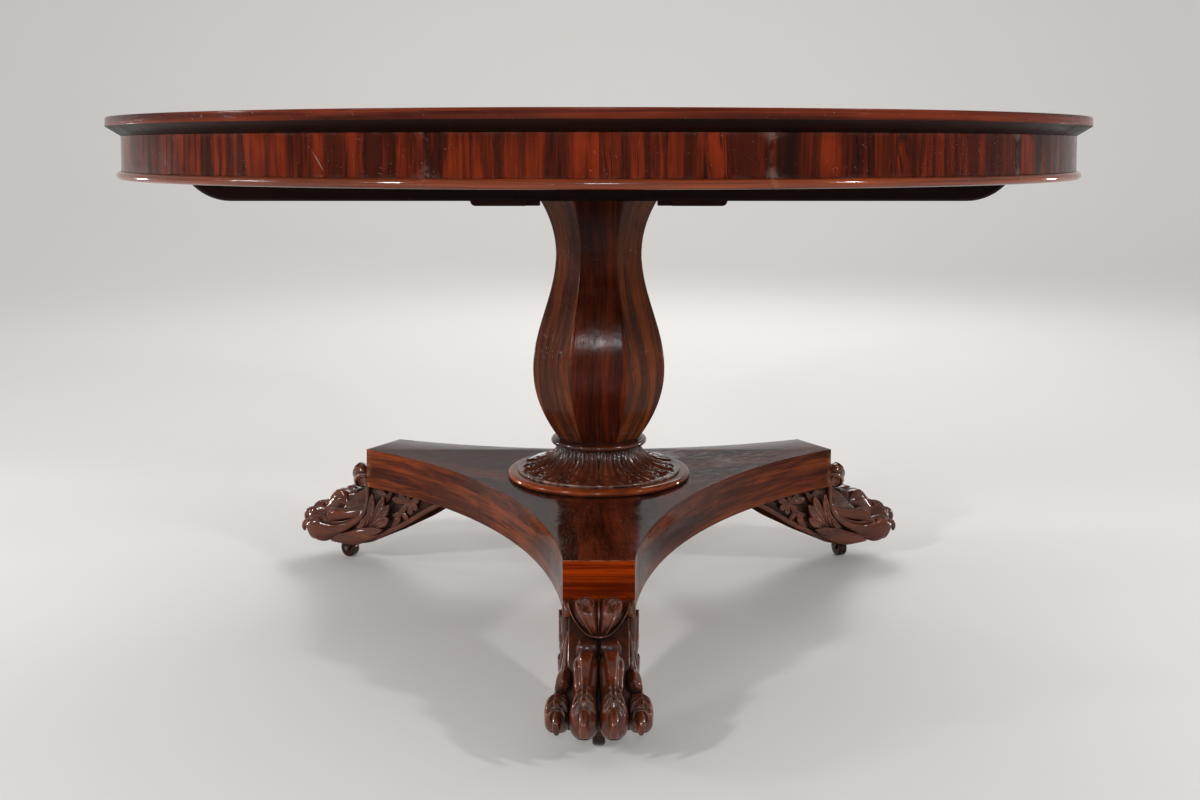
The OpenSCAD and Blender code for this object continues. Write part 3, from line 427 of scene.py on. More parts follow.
def rosewood_figure_group() -> bpy.types.NodeTree:
    """Rosewood's figure, in a frame whose Z runs along the grain, in metres.

    Wide bands of light and dark wander along the grain. Thin near-black lines follow the bands' edges.
    Short dark pores lie along the grain, and a faint mottle breaks the colour up.

    Returns:
        The group.
    """
    group, nodes, given, out = new_group(
        "rosewood_figure",
        [("Vector", "NodeSocketVector", None), ("Light", "NodeSocketColor", (0.3, 0.07, 0.02, 1)),
         ("Middle", "NodeSocketColor", (0.12, 0.03, 0.015, 1)),
         ("Dark", "NodeSocketColor", (0.02, 0.008, 0.006, 1)),
         ("Bands", "NodeSocketFloat", 40.0), ("Ink", "NodeSocketFloat", 0.6),
         ("Wander", "NodeSocketFloat", 0.02)],
        [("Color", "NodeSocketColor"), ("Pores", "NodeSocketFloat")])
    vector = given["Vector"]
    drift = nodes.add("ShaderNodeTexNoise",
                      {"Vector": nodes.stretch(vector, (7, 7, 3)), "Scale": 1.0, "Detail": 3.0})
    centred = nodes.add("ShaderNodeVectorMath", {0: drift.outputs["Color"], 1: (0.5, 0.5, 0.5)},
                        operation="SUBTRACT")
    push = nodes.add("ShaderNodeVectorMath", {0: centred.outputs[0], "Scale": given["Wander"]},
                     operation="SCALE")
    bent = nodes.add("ShaderNodeVectorMath", {0: vector, 1: push.outputs[0]}, operation="ADD").outputs[0]
    long = nodes.stretch(bent, (1, 1, 0.05))
    bands = nodes.add("ShaderNodeTexNoise", {"Vector": long, "Scale": given["Bands"], "Detail": 4.0,
                      "Roughness": 0.6}).outputs["Fac"]
    fine = nodes.noise(nodes.stretch(bent, (1, 1, 0.03)), 260.0, 3.0, 0.6)
    light_share = nodes.span(nodes.plus(nodes.times(bands, 0.72), nodes.times(fine, 0.28)),
                             0.42, 0.62)
    ink_noise = nodes.add("ShaderNodeTexNoise",
                          {"Vector": nodes.stretch(bent, (1, 1, 0.045), (3.1, 1.7, 0.4)),
                          "Scale": nodes.times(given["Bands"], 0.8), "Detail": 5.0,
                          "Roughness": 0.62}).outputs["Fac"]
    ink_line = nodes.span(nodes.math("ABSOLUTE", nodes.minus(ink_noise, 0.5)), 0.0, 0.022, 1.0, 0.0)
    where_noise = nodes.noise(nodes.stretch(bent, (1, 1, 0.08), (9.0, 2.0, 5.0)), 22.0, 2.0)
    ink_where = nodes.span(where_noise, 0.42, 0.6)
    pool_noise = nodes.noise(nodes.stretch(bent, (1, 1, 0.06), (5.5, 8.0, 1.0)), 26.0, 3.0)
    pool = nodes.span(pool_noise, 0.53, 0.68)
    ink = nodes.times(nodes.math("MAXIMUM", nodes.times(ink_line, ink_where), pool),
                     given["Ink"], clamp=True)
    pores = nodes.span(nodes.noise(nodes.stretch(vector, (1, 1, 0.035)), 1400.0, 1.0), 0.63, 0.72)
    mottle = nodes.span(nodes.noise(vector, 16.0, 3.0), 0.3, 0.75, 0.72, 1.15)
    colour = nodes.mix(light_share, given["Middle"], given["Light"])
    colour = nodes.mix(ink, colour, given["Dark"])
    colour = nodes.mix(nodes.times(pores, 0.5), colour, given["Dark"])
    shade = nodes.add("ShaderNodeCombineColor", {0: mottle, 1: mottle, 2: mottle}).outputs[0]
    colour = nodes.mix(1.0, colour, shade, "MULTIPLY")
    group.links.new(colour, out["Color"])
    group.links.new(pores, out["Pores"])
    return group


def old_polish_group() -> bpy.types.NodeTree:
    """An old polished surface: hairline scratches in three directions, dull patches, specks and a soft
    ripple.

    Returns:
        The group, which gives the roughness, the height for a bump, and the marks.
    """
    group, nodes, given, out = new_group(
        "old_polish",
        [("Vector", "NodeSocketVector", None), ("Roughness", "NodeSocketFloat", 0.2),
         ("Scratches", "NodeSocketFloat", 0.5), ("Pores", "NodeSocketFloat", 0.0)],
        [("Roughness", "NodeSocketFloat"), ("Height", "NodeSocketFloat"), ("Marks", "NodeSocketFloat")])
    vector = given["Vector"]
    marks = None
    scratch_sets = (((0.3, 0.5, 0.9), 0.0, 18), ((1.2, 0.2, 2.1), 4.0, 11), ((0.7, 1.4, 0.2), 8.0, 24))
    for turn, shift, bend in scratch_sets:
        turned = nodes.add("ShaderNodeMapping",
                           {"Vector": vector, "Rotation": turn, "Location": (shift,) * 3}).outputs[0]
        stretched = nodes.stretch(turned, (1, 1, 0.018))
        line = nodes.span(nodes.noise(stretched, 520.0, 1.0, 0.5, 0.3), 0.735, 0.78)
        where = nodes.span(nodes.noise(turned, bend, 2.0), 0.5, 0.62)
        part = nodes.times(line, where)
        marks = part if marks is None else nodes.math("MAXIMUM", marks, part)
    specks = nodes.span(nodes.noise(vector, 210.0, 2.0, 0.7), 0.735, 0.78)
    marks = nodes.times(nodes.math("MAXIMUM", marks, specks), given["Scratches"], clamp=True)
    dull = nodes.span(nodes.noise(vector, 9.0, 4.0, 0.6), 0.35, 0.7, -0.05, 0.1)
    grease = nodes.span(nodes.noise(vector, 70.0, 3.0, 0.7), 0.35, 0.75, -0.02, 0.05)
    rough = nodes.plus(nodes.plus(given["Roughness"], dull), grease)
    rough = nodes.plus(rough, nodes.times(marks, 0.25), clamp=True)
    ripple = nodes.times(nodes.noise(vector, 34.0, 2.0), 0.9)
    height = nodes.minus(ripple, nodes.times(marks, 0.5))
    height = nodes.minus(height, nodes.times(given["Pores"], 0.12))
    for socket, value in (("Roughness", rough), ("Height", height), ("Marks", marks)):
        group.links.new(value, out[socket])
    return group


def wax_shade_and_edges_group() -> bpy.types.NodeTree:
    """Dark wax and painted shade in the hollows, and bare wood where edges are rubbed.

    Returns:
        The group, which gives the colour and how much dark wax and painted shade lies there.
    """
    group, nodes, given, out = new_group(
        "wax_painted_shade_and_edges",
        [("Color", "NodeSocketColor", (0.1, 0.03, 0.02, 1)), ("Openness", "NodeSocketFloat", 1.0),
         ("Edge", "NodeSocketFloat", 0.5), ("Vector", "NodeSocketVector", None),
         ("Wax And Painted Shade", "NodeSocketColor", (0.012, 0.006, 0.004, 1)),
         ("Rubbed", "NodeSocketColor", (0.35, 0.16, 0.08, 1)),
         ("Wax And Painted Shade Amount", "NodeSocketFloat", 0.9), ("Rub Amount", "NodeSocketFloat", 0.5),
         ("Open At", "NodeSocketFloat", 0.85)],
        [("Color", "NodeSocketColor"), ("Wax And Painted Shade", "NodeSocketFloat")])
    patch = nodes.span(nodes.noise(given["Vector"], 120.0, 3.0, 0.7), 0.35, 0.65, 0.55, 1.0)
    # Painted shade: the less open a point is, by ambient occlusion, the more of the dark colour it gets,
    # partly dark wax and partly shade painted into creases and gaps.
    closed = nodes.span(given["Openness"], nodes.times(given["Open At"], 0.5),
                        given["Open At"], 1.0, 0.0)
    wax_and_painted_shade = nodes.times(nodes.times(closed, given["Wax And Painted Shade Amount"]), patch, clamp=True)
    colour = nodes.mix(wax_and_painted_shade, given["Color"], given["Wax And Painted Shade"])
    rub = nodes.times(nodes.span(given["Edge"], 0.53, 0.62), given["Rub Amount"])
    rub = nodes.times(rub, nodes.span(nodes.noise(given["Vector"], 90.0, 3.0), 0.4, 0.6), clamp=True)
    colour = nodes.mix(rub, colour, given["Rubbed"])
    group.links.new(colour, out["Color"])
    group.links.new(wax_and_painted_shade, out["Wax And Painted Shade"])
    return group


class Grain(Enum):
    """Which way a piece's grain runs."""

    UP = "up, each piece of veneer side by side round the table's axis"
    FACET = "up a column of eight flats, each with its own veneer"
    ALONG_X = "along the X axis"
    ROUND = "round the table's axis"
    ARM = "out along each of the three arms"
    LEAVES = "along X in matched leaves of veneer"


@dataclass(frozen=True)
class WoodFinish:
    """A polished wood: its colours, its grain, its wear, and the dark wax and painted shade in its hollows.
    """

    name: str
    light: Colour
    middle: Colour
    dark: Colour
    grain: Grain
    bands: float = 40.0
    ink: float = 0.6
    wander: float = 0.02
    roughness: float = 0.2
    shine: float = 0.5
    scratches: float = 0.5
    wax_and_painted_shade: float = 0.6
    rub: float = 0.35
    rubbed: Colour = (0.42, 0.2, 0.11)
    reach: float = 0.02
    open_at: float = 0.85
    bump: float = 0.0004
    leaf: float = 0.1
    lit_flat_tone: Colour = (1.0, 1.0, 1.0)
    neck_tone: Colour = (0.5, 0.5, 0.5)
    neck_from: float = 0.50
    neck_to: float = 0.60

    def grain_frame(self, nodes: Nodes) -> bpy.types.NodeSocket:
        """Object coordinates turned so that Z runs along this finish's grain.

        Args:
            nodes: the material's builder.

        Returns:
            A vector socket, in metres.
        """
        place = nodes.add("ShaderNodeTexCoord").outputs["Object"]
        parts = nodes.add("ShaderNodeSeparateXYZ", {0: place}).outputs
        x, y, z = parts[0], parts[1], parts[2]
        radius = nodes.add("ShaderNodeVectorMath", {0: nodes.stretch(place, (1, 1, 0))},
                           operation="LENGTH").outputs["Value"]
        angle = nodes.math("ARCTAN2", x, nodes.times(y, -1.0))

        def vector(a: object, b: object, c: object) -> bpy.types.NodeSocket:
            """Three numbers as one vector."""
            return nodes.add("ShaderNodeCombineXYZ", {0: a, 1: b, 2: c}).outputs[0]

        if self.grain is Grain.UP:
            around = nodes.times(angle, FRIEZE_RADIUS)
            leaf = nodes.math("FLOOR", nodes.math("DIVIDE", around, self.leaf))
            shifted = nodes.plus(around, nodes.times(leaf, LEAF_SHIFT[0]))
            return vector(shifted, nodes.times(leaf, LEAF_SHIFT[1]), z)
        if self.grain is Grain.FACET:
            facet = nodes.math("ROUND", nodes.math("DIVIDE", angle, FLAT_STEP))
            turn = nodes.minus(angle, nodes.times(facet, FLAT_STEP))
            across = nodes.times(nodes.math("SINE", turn), radius)
            shifted = nodes.plus(across, nodes.times(facet, FLAT_SHIFT[0]))
            return vector(shifted, nodes.times(facet, FLAT_SHIFT[1]), z)
        if self.grain is Grain.ALONG_X:
            return vector(y, z, x)
        if self.grain is Grain.ROUND:
            return vector(nodes.times(radius, 0.07), z, nodes.times(angle, 0.25))
        if self.grain is Grain.ARM:
            arm = nodes.math("ROUND", nodes.math("DIVIDE", angle, ARM_STEP))
            turn = nodes.minus(angle, nodes.times(arm, ARM_STEP))
            along = nodes.times(nodes.math("COSINE", turn), radius)
            across = nodes.times(nodes.math("SINE", turn), radius)
            shifted = nodes.plus(nodes.times(across, 0.8), nodes.times(arm, ARM_SHIFT))
            return vector(shifted, z, along)
        leaf = nodes.math("FLOOR", nodes.math("DIVIDE", y, self.leaf))
        matched = nodes.math("PINGPONG", y, self.leaf)
        return vector(matched, nodes.times(leaf, 0.004), x)

    def painted_lit_flat(self, nodes: Nodes, place: bpy.types.NodeSocket) -> bpy.types.NodeSocket:
        """Which of the column's flats a point is on: 1 on every second flat, which is painted paler as
        painted light.

        Args:
            nodes: the material's builder.
            place: object coordinates.

        Returns:
            A socket that is 0 on the flats that face along an axis and 1 on those between.
        """
        parts = nodes.add("ShaderNodeSeparateXYZ", {0: place}).outputs
        angle = nodes.math("ARCTAN2", parts[0], nodes.times(parts[1], -1.0))
        flat = nodes.math("ROUND", nodes.math("DIVIDE", angle, FLAT_STEP))
        return nodes.math("ABSOLUTE", nodes.math("MODULO", flat, 2.0))

    def build(self, groups: dict[str, bpy.types.NodeTree]) -> bpy.types.Material:
        """The material: figure, then dark wax and painted shade in the hollows, then worn edges, under an old
        polish.

        Args:
            groups: the shared shader groups.

        Returns:
            The material.
        """
        material = bpy.data.materials.new(self.name)
        material.use_nodes = True
        tree = material.node_tree
        tree.nodes.clear()
        nodes = Nodes(tree)
        place = nodes.add("ShaderNodeTexCoord").outputs["Object"]
        figure = nodes.add("ShaderNodeGroup", node_tree=groups["figure"])
        for socket, value in (("Light", (*self.light, 1)), ("Middle", (*self.middle, 1)),
                              ("Dark", (*self.dark, 1)), ("Bands", self.bands), ("Ink", self.ink),
                              ("Wander", self.wander)):
            figure.inputs[socket].default_value = value
        tree.links.new(self.grain_frame(nodes), figure.inputs["Vector"])
        # How open each point is, by ambient occlusion, sets the dark wax and painted shade in its hollows.
        openness = nodes.add("ShaderNodeAmbientOcclusion", {"Distance": self.reach},
                             samples=6).outputs["AO"]
        edge = nodes.add("ShaderNodeNewGeometry").outputs["Pointiness"]
        hollows = nodes.add("ShaderNodeGroup", node_tree=groups["hollows"])
        for socket, value in (("Color", figure.outputs["Color"]), ("Openness", openness), ("Edge", edge),
                              ("Vector", place)):
            tree.links.new(value, hollows.inputs[socket])
        hollows.inputs["Wax And Painted Shade Amount"].default_value = self.wax_and_painted_shade
        hollows.inputs["Open At"].default_value = self.open_at
        hollows.inputs["Rub Amount"].default_value = self.rub
        hollows.inputs["Rubbed"].default_value = (*self.rubbed, 1)
        polish = nodes.add("ShaderNodeGroup", node_tree=groups["polish"])
        for socket, value in (("Vector", place), ("Pores", figure.outputs["Pores"])):
            tree.links.new(value, polish.inputs[socket])
        polish.inputs["Roughness"].default_value = self.roughness
        polish.inputs["Scratches"].default_value = self.scratches
        colour = nodes.mix(nodes.times(polish.outputs["Marks"], 0.35), hollows.outputs["Color"],
                           self.rubbed)
        # Painted light: every second flat is painted paler and greyer, as a flat turned to the lamps looks.
        # Higher up, between the neck's two heights, the whole column also grows darker towards its top.
        if self.grain is Grain.FACET:
            colour = nodes.mix(self.painted_lit_flat(nodes, place), colour,
                               nodes.mix(1.0, colour, self.lit_flat_tone, "MULTIPLY"))
            height = nodes.add("ShaderNodeSeparateXYZ", {0: place}).outputs[2]
            neck = nodes.span(height, self.neck_from, self.neck_to)
            colour = nodes.mix(neck, colour, nodes.mix(1.0, colour, self.neck_tone, "MULTIPLY"))
        dulled = nodes.span(hollows.outputs["Wax And Painted Shade"], 0.2, 0.9, 0.0, 0.45)
        roughness = nodes.plus(polish.outputs["Roughness"], dulled, clamp=True)
        bump = nodes.add("ShaderNodeBump",
                         {"Height": polish.outputs["Height"], "Strength": 1.0, "Distance": self.bump})
        shader = nodes.add("ShaderNodeBsdfPrincipled", {
            "Base Color": colour, "Roughness": roughness, "Normal": bump.outputs[0],
            "Specular IOR Level": self.shine, "IOR": 1.5})
        end = nodes.add("ShaderNodeOutputMaterial")
        tree.links.new(shader.outputs[0], end.inputs[0])
        return material


@dataclass(frozen=True)
class MetalFinish:
    """An old metal, tarnished in cloudy patches, brighter between them."""

    name: str
    worn: Colour
    tarnish: Colour
    roughness: float = 0.38

    def build(self, groups: dict[str, bpy.types.NodeTree]) -> bpy.types.Material:
        """The material: tarnish in cloudy patches over the metal, with scratches.

        Args:
            groups: the shared shader groups.

        Returns:
            The material.
        """
        material = bpy.data.materials.new(self.name)
        material.use_nodes = True
        tree = material.node_tree
        tree.nodes.clear()
        nodes = Nodes(tree)
        place = nodes.add("ShaderNodeTexCoord").outputs["Object"]
        cloud = nodes.span(nodes.noise(place, 160.0, 4.0, 0.7), 0.35, 0.65)
        colour = nodes.mix(cloud, self.worn, self.tarnish)
        polish = nodes.add("ShaderNodeGroup", node_tree=groups["polish"])
        tree.links.new(place, polish.inputs["Vector"])
        polish.inputs["Roughness"].default_value = self.roughness
        polish.inputs["Scratches"].default_value = 0.7
        bump = nodes.add("ShaderNodeBump",
                         {"Height": polish.outputs["Height"], "Strength": 1.0, "Distance": 0.0002})
        shader = nodes.add("ShaderNodeBsdfPrincipled",
                           {"Base Color": colour, "Roughness": polish.outputs["Roughness"],
                           "Normal": bump.outputs[0], "Metallic": nodes.span(cloud, 0.0, 1.0, 0.95, 0.45)})
        end = nodes.add("ShaderNodeOutputMaterial")
        tree.links.new(shader.outputs[0], end.inputs[0])
        return material


# In each wood, the amount of dark wax in the hollows also paints shade there, within the reach of its ambient
# occlusion.
FINISHES = {
    # Painted shade: the bearer wood is near-black, as the bearers stand in shade under the top.
    "bearer": WoodFinish(
        "bearer_wood_painted_shade", (0.022, 0.007, 0.004), (0.010, 0.004, 0.003), (0.005, 0.0025, 0.002), Grain.ALONG_X,
        bands=26.0, roughness=0.4, shine=0.06, wax_and_painted_shade=0.4, scratches=0.2, rub=0.15,
        rubbed=(0.10, 0.04, 0.025)),
    # Painted shade: the underside wood is near-black, for faces in shade under the top.
    "under": WoodFinish(
        "underside", (0.022, 0.007, 0.0045), (0.010, 0.004, 0.003), (0.005, 0.0025, 0.002), Grain.ROUND,
        bands=60.0, roughness=0.4, shine=0.06, wax_and_painted_shade=0.3, scratches=0.2, rub=0.0),
    "top": WoodFinish(
        "top_veneer", (0.20, 0.036, 0.014), (0.055, 0.011, 0.006), (0.007, 0.003, 0.0025), Grain.LEAVES,
        bands=16.0, ink=0.8, wander=0.05, roughness=0.12, shine=0.3, leaf=0.23, wax_and_painted_shade=0.2),
    "rim": WoodFinish(
        "rim", (0.21, 0.032, 0.011), (0.065, 0.011, 0.005), (0.010, 0.004, 0.003), Grain.ROUND, bands=60.0,
        ink=0.9, wander=0.03, roughness=0.18, shine=0.10, scratches=1.0, wax_and_painted_shade=0.1, rub=0.6,
        rubbed=(0.45, 0.33, 0.30)),
    "frieze": WoodFinish(
        "frieze_veneer", (0.165, 0.019, 0.0045), (0.044, 0.0070, 0.0030), (0.008, 0.003, 0.002), Grain.UP,
        bands=54.0, ink=0.85, wander=0.042, roughness=0.16, shine=0.07, scratches=1.0, wax_and_painted_shade=0.3, leaf=0.104,
        rubbed=(0.42, 0.28, 0.24)),
    # Painted light: the column's tone for every second flat paints those flats paler.
    "column": WoodFinish(
        "column_veneer", (0.15, 0.022, 0.005), (0.045, 0.008, 0.004), (0.007, 0.0028, 0.002), Grain.FACET,
        bands=46.0, ink=0.5, wander=0.05, roughness=0.17, shine=0.10, wax_and_painted_shade=0.3, scratches=0.35, rub=0.9,
        rubbed=(0.45, 0.28, 0.2), lit_flat_tone=(1.35, 2.1, 2.2)),
    "moulding": WoodFinish(
        "moulding", (0.38, 0.064, 0.009), (0.14, 0.024, 0.005), (0.014, 0.004, 0.002), Grain.ROUND,
        bands=50.0, ink=0.5, wander=0.012, roughness=0.10, shine=0.26, wax_and_painted_shade=0.9, reach=0.012),
    "bead": WoodFinish(
        "bead_moulding_wood", (0.38, 0.064, 0.009), (0.14, 0.024, 0.005), (0.014, 0.004, 0.002),
        Grain.ROUND, bands=50.0, ink=0.5, wander=0.012, roughness=0.10, shine=0.42, wax_and_painted_shade=0.9, reach=0.012),
    "dark_moulding": WoodFinish(
        "dark_moulding", (0.10, 0.018, 0.006), (0.035, 0.008, 0.004), (0.008, 0.003, 0.002), Grain.ROUND,
        bands=50.0, ink=0.4, wander=0.006, roughness=0.10, shine=0.5, wax_and_painted_shade=0.9, reach=0.012),
    "platform_side": WoodFinish(
        "platform_veneer", (0.19, 0.038, 0.010), (0.055, 0.012, 0.005), (0.012, 0.004, 0.003), Grain.ROUND,
        bands=60.0, ink=0.7, wander=0.007, roughness=0.16, shine=0.06, wax_and_painted_shade=0.3),
    "cant": WoodFinish(
        "arm_end_veneer", (0.31, 0.034, 0.001), (0.13, 0.012, 0.001), (0.02, 0.003, 0.001), Grain.ROUND,
        bands=150.0, ink=0.6, wander=0.006, roughness=0.22, shine=0.02, wax_and_painted_shade=0.3, scratches=0.2, rub=0.0),
    "platform_top": WoodFinish(
        "platform_top_veneer", (0.13, 0.021, 0.007), (0.030, 0.007, 0.003), (0.007, 0.003, 0.002),
        Grain.ARM, bands=26.0, ink=0.8, wander=0.05, roughness=0.08, shine=0.15, wax_and_painted_shade=0.9, reach=0.05),
    "carved": WoodFinish(
        "carved_mahogany", (0.145, 0.029, 0.009), (0.078, 0.015, 0.005), (0.018, 0.005, 0.003), Grain.ARM,
        bands=60.0, ink=0.25, wander=0.02, roughness=0.065, shine=0.42, scratches=0.25, wax_and_painted_shade=1.0, rub=0.7,
        rubbed=(0.42, 0.19, 0.10), reach=0.014, open_at=0.92, bump=0.00025),
    "collar": WoodFinish(
        "carved_collar_wood", (0.13, 0.030, 0.012), (0.075, 0.017, 0.007), (0.016, 0.005, 0.003), Grain.ARM,
        bands=60.0, ink=0.25, wander=0.02, roughness=0.10, shine=0.65, scratches=0.25, wax_and_painted_shade=1.0, rub=0.6,
        rubbed=(0.40, 0.22, 0.14), reach=0.012, open_at=0.95, bump=0.0002),
    # Painted shade: a darker copy of the carved wood, for the feet's brackets.
    "shaded": WoodFinish(
        "carved_painted_shade", (0.10, 0.020, 0.007), (0.055, 0.012, 0.005), (0.014, 0.005, 0.003), Grain.ARM,
        bands=60.0, ink=0.25, wander=0.02, roughness=0.10, shine=0.30, scratches=0.25, wax_and_painted_shade=1.0, rub=0.5,
        rubbed=(0.30, 0.13, 0.07), reach=0.03, open_at=0.97, bump=0.00025),
    # Painted shade: a dark, matte copy of the carved wood for faces that point down.
    "sole": WoodFinish(
        "carving_underside_painted_shade", (0.05, 0.014, 0.007), (0.025, 0.008, 0.004), (0.010, 0.004, 0.003), Grain.ARM,
        bands=60.0, ink=0.25, wander=0.02, roughness=0.5, shine=0.0, scratches=0.25, wax_and_painted_shade=1.0, rub=0.2,
        rubbed=(0.20, 0.09, 0.05)),
    "plain": WoodFinish(
        "plain_wood", (0.16, 0.075, 0.036), (0.10, 0.045, 0.022), (0.04, 0.02, 0.012), Grain.ALONG_X,
        bands=60.0, ink=0.3, wander=0.01, roughness=0.55, shine=0.2, scratches=0.4, wax_and_painted_shade=0.7, rub=0.2,
        rubbed=(0.3, 0.18, 0.1)),
    "cleat": WoodFinish(
        "cleat_wood", (0.030, 0.009, 0.004), (0.016, 0.005, 0.003), (0.008, 0.0035, 0.0025), Grain.ALONG_X,
        bands=26.0, ink=0.3, wander=0.01, roughness=0.5, shine=0.06, wax_and_painted_shade=0.3, scratches=0.1, rub=0.0),
}
METALS = {
    "brass": MetalFinish("old_brass", (0.32, 0.19, 0.075), (0.05, 0.03, 0.018)),
    "castor": MetalFinish("castor_brass", (0.060, 0.026, 0.015), (0.018, 0.008, 0.006), 0.25),
    "iron": MetalFinish("dull_iron", (0.16, 0.145, 0.13), (0.045, 0.035, 0.03), 0.5),
}


def facing(made: bpy.types.Object) -> Array:
    """The direction of each of an object's faces.

    Args:
        made: the object.

    Returns:
        Normals of shape (faces, 3).
    """
    normals = np.empty(len(made.data.polygons) * 3, dtype=np.float32)
    made.data.polygons.foreach_get("normal", normals)
    return normals.reshape(-1, 3)


def dress_faces(made: bpy.types.Object, finishes: Sequence[bpy.types.Material],
                where: Sequence[Array]) -> None:
    """Gives some of an object's faces other finishes than its first.

    Args:
        made: the object, which has one finish.
        finishes: the further finishes.
        where: for each of them, which faces get it.
    """
    slots = np.zeros(len(made.data.polygons), dtype=np.int32)
    for number, (finish, chosen) in enumerate(zip(finishes, where), start=1):
        made.data.materials.append(finish)
        slots[chosen] = number
    made.data.polygons.foreach_set("material_index", slots)


# The table's own sub-assemblies


@dataclass
class Top:
    """The round top with its frieze and bead. Its glue blocks, bearers and catch are dressed apart, with the
    bearers and the hardware.
    """

    radius: float = 0.690
    height: float = 0.7335
    thickness: float = 0.024
    rim: float = 0.0122
    frieze_radius: float = 0.6707
    frieze_depth: float = 0.0257
    frieze_height: float = 0.0463
    bead_height: float = 0.0107
    bead_out: float = 0.0061
    bead_backing: float = 0.018
    ring_pieces: int = 12
    joint: float = 0.00018
    arris: float = 0.0011
    around: int = 512

    def panel(self) -> Surface:
        """The panel: a profile with a rounded rim and a bevelled underside, carried round the axis.

        Returns:
            The surface.
        """
        low = self.height - self.thickness
        rim_low = self.height - self.rim
        r, a = self.radius, self.arris
        inner = [(x, low) for x in np.linspace(0.02, self.frieze_radius, 8)]
        outer = [(x, self.height) for x in np.linspace(r - a - 0.02, 0.02, 10)]
        profile = np.concatenate([
            np.array(inner), rounded_corner((r - a * 0.7, rim_low + a), -40, 0, a, 3),
            np.array([(r, self.height - 2 * a)]), rounded_corner((r - a, self.height - a), 0, 90, a, 4),
            np.array(outer)])
        return revolved(profile, self.around, loop=False)

    def ring(self, profile: Array) -> Surface:
        """Curved pieces end to end round the axis, with a hairline joint between them.

        Args:
            profile: points of (radius, height), a closed outline.

        Returns:
            The pieces as one surface.
        """
        step = 360.0 / self.ring_pieces
        gap = math.degrees(self.joint / self.frieze_radius)
        columns = self.around // self.ring_pieces
        return joined(revolved(profile, columns, (i + 0.5) * step + gap / 2, step - gap)
                      for i in range(self.ring_pieces))

    def frieze(self) -> Surface:
        """The frieze's pieces: an upright oblong profile with slightly eased edges.

        Returns:
            The surface.
        """
        high = self.height - self.thickness
        low = high - self.frieze_height
        out, back, ease = self.frieze_radius, self.frieze_radius - self.frieze_depth, 0.0004
        heights = np.linspace(low + ease, high - ease, 6)
        profile = np.array([(back, low), (out - ease, low), *[(out, z) for z in heights],
                            (out - ease, high), (back, high)])
        return self.ring(profile)

    def bead(self) -> Surface:
        """The bead's pieces: an oblong backing with a half-round nose.

        Returns:
            The surface.
        """
        high = self.height - self.thickness - self.frieze_height
        low = high - self.bead_height
        half = self.bead_height / 2
        centre = (self.frieze_radius + self.bead_out - half, low + half)
        back = self.frieze_radius - self.bead_backing
        profile = np.concatenate([[(back, low)], rounded_corner(centre, -90, 90, half, 12), [(back, high)]])
        return self.ring(profile)

    def dress(self, finishes: dict[str, bpy.types.Material]) -> None:
        """Makes the pieces that the eye sees close to, and gives the board's rim and underside their own
        finishes.

        Args:
            finishes: the materials by their keys.
        """
        board = piece("top_board", self.panel(), finishes["top"], "top", ["top_panel"])
        upward = facing(board)
        # Painted shade: faces that point down get the near-black underside finish.
        dress_faces(board, [finishes["rim"], finishes["under"]],
                    [np.abs(upward[:, 2]) < SIDE_LIMIT, upward[:, 2] < UNDER_LIMIT])
        piece("frieze_ring", self.frieze(), finishes["frieze"], "top", ["frieze"])
        piece("bead_ring", self.bead(), finishes["bead"], "top", ["bead_moulding"])


@dataclass
class Bearers:
    """The two long bearers under the top."""

    length: float = 1.168
    height: float = 0.0891
    thickness: float = 0.034
    inner: float = 0.116
    top: float = 0.7095
    end_radius: float = 0.075
    chamfer: float = 0.0035

    def outline(self) -> Array:
        """The long side: an oblong with quarter-round lower ends, counter-clockwise.

        Returns:
            Points of shape (n, 2), as x and z.
        """
        half, r, low = self.length / 2, self.end_radius, self.top - self.height
        return np.concatenate([
            rounded_corner((-half + r, low + r), 180, 270, r, 14),
            rounded_corner((half - r, low + r), 270, 360, r, 14),
            [(half, self.top)], [(-half, self.top)]])

    def bearer(self, side: int) -> Surface:
        """One bearer: the long side's outline carried across its thickness, its edges chamfered.

        Args:
            side: -1 for the front bearer and 1 for the rear one.

        Returns:
            The surface.
        """
        c = self.chamfer
        outline = self.outline()
        drawn_in = outline.copy()
        lifted = outline[:, 1] < self.top - 1e-6
        small = inset(outline, c)
        drawn_in[lifted] = small[lifted]
        across = [(drawn_in, 0.0), (outline, c), (outline, self.thickness - c), (drawn_in, self.thickness)]
        rows = np.array([np.column_stack([o[:, 0], np.full(len(o), side * (self.inner + d)), o[:, 1]])
                         for o, d in across])
        return grid_surface(rows, caps="flat")

    def dress(self, finishes: dict[str, bpy.types.Material]) -> None:
        """Makes both bearers.

        Args:
            finishes: the materials by their keys.
        """
        # Painted shade: the bearers' wood is near-black, as they stand in shade under the top.
        for side, name in ((-1, "bearer_front"), (1, "bearer_rear")):
            piece(name + "_rail", self.bearer(side), finishes["bearer"], "top", [name],
                  sharp=25)


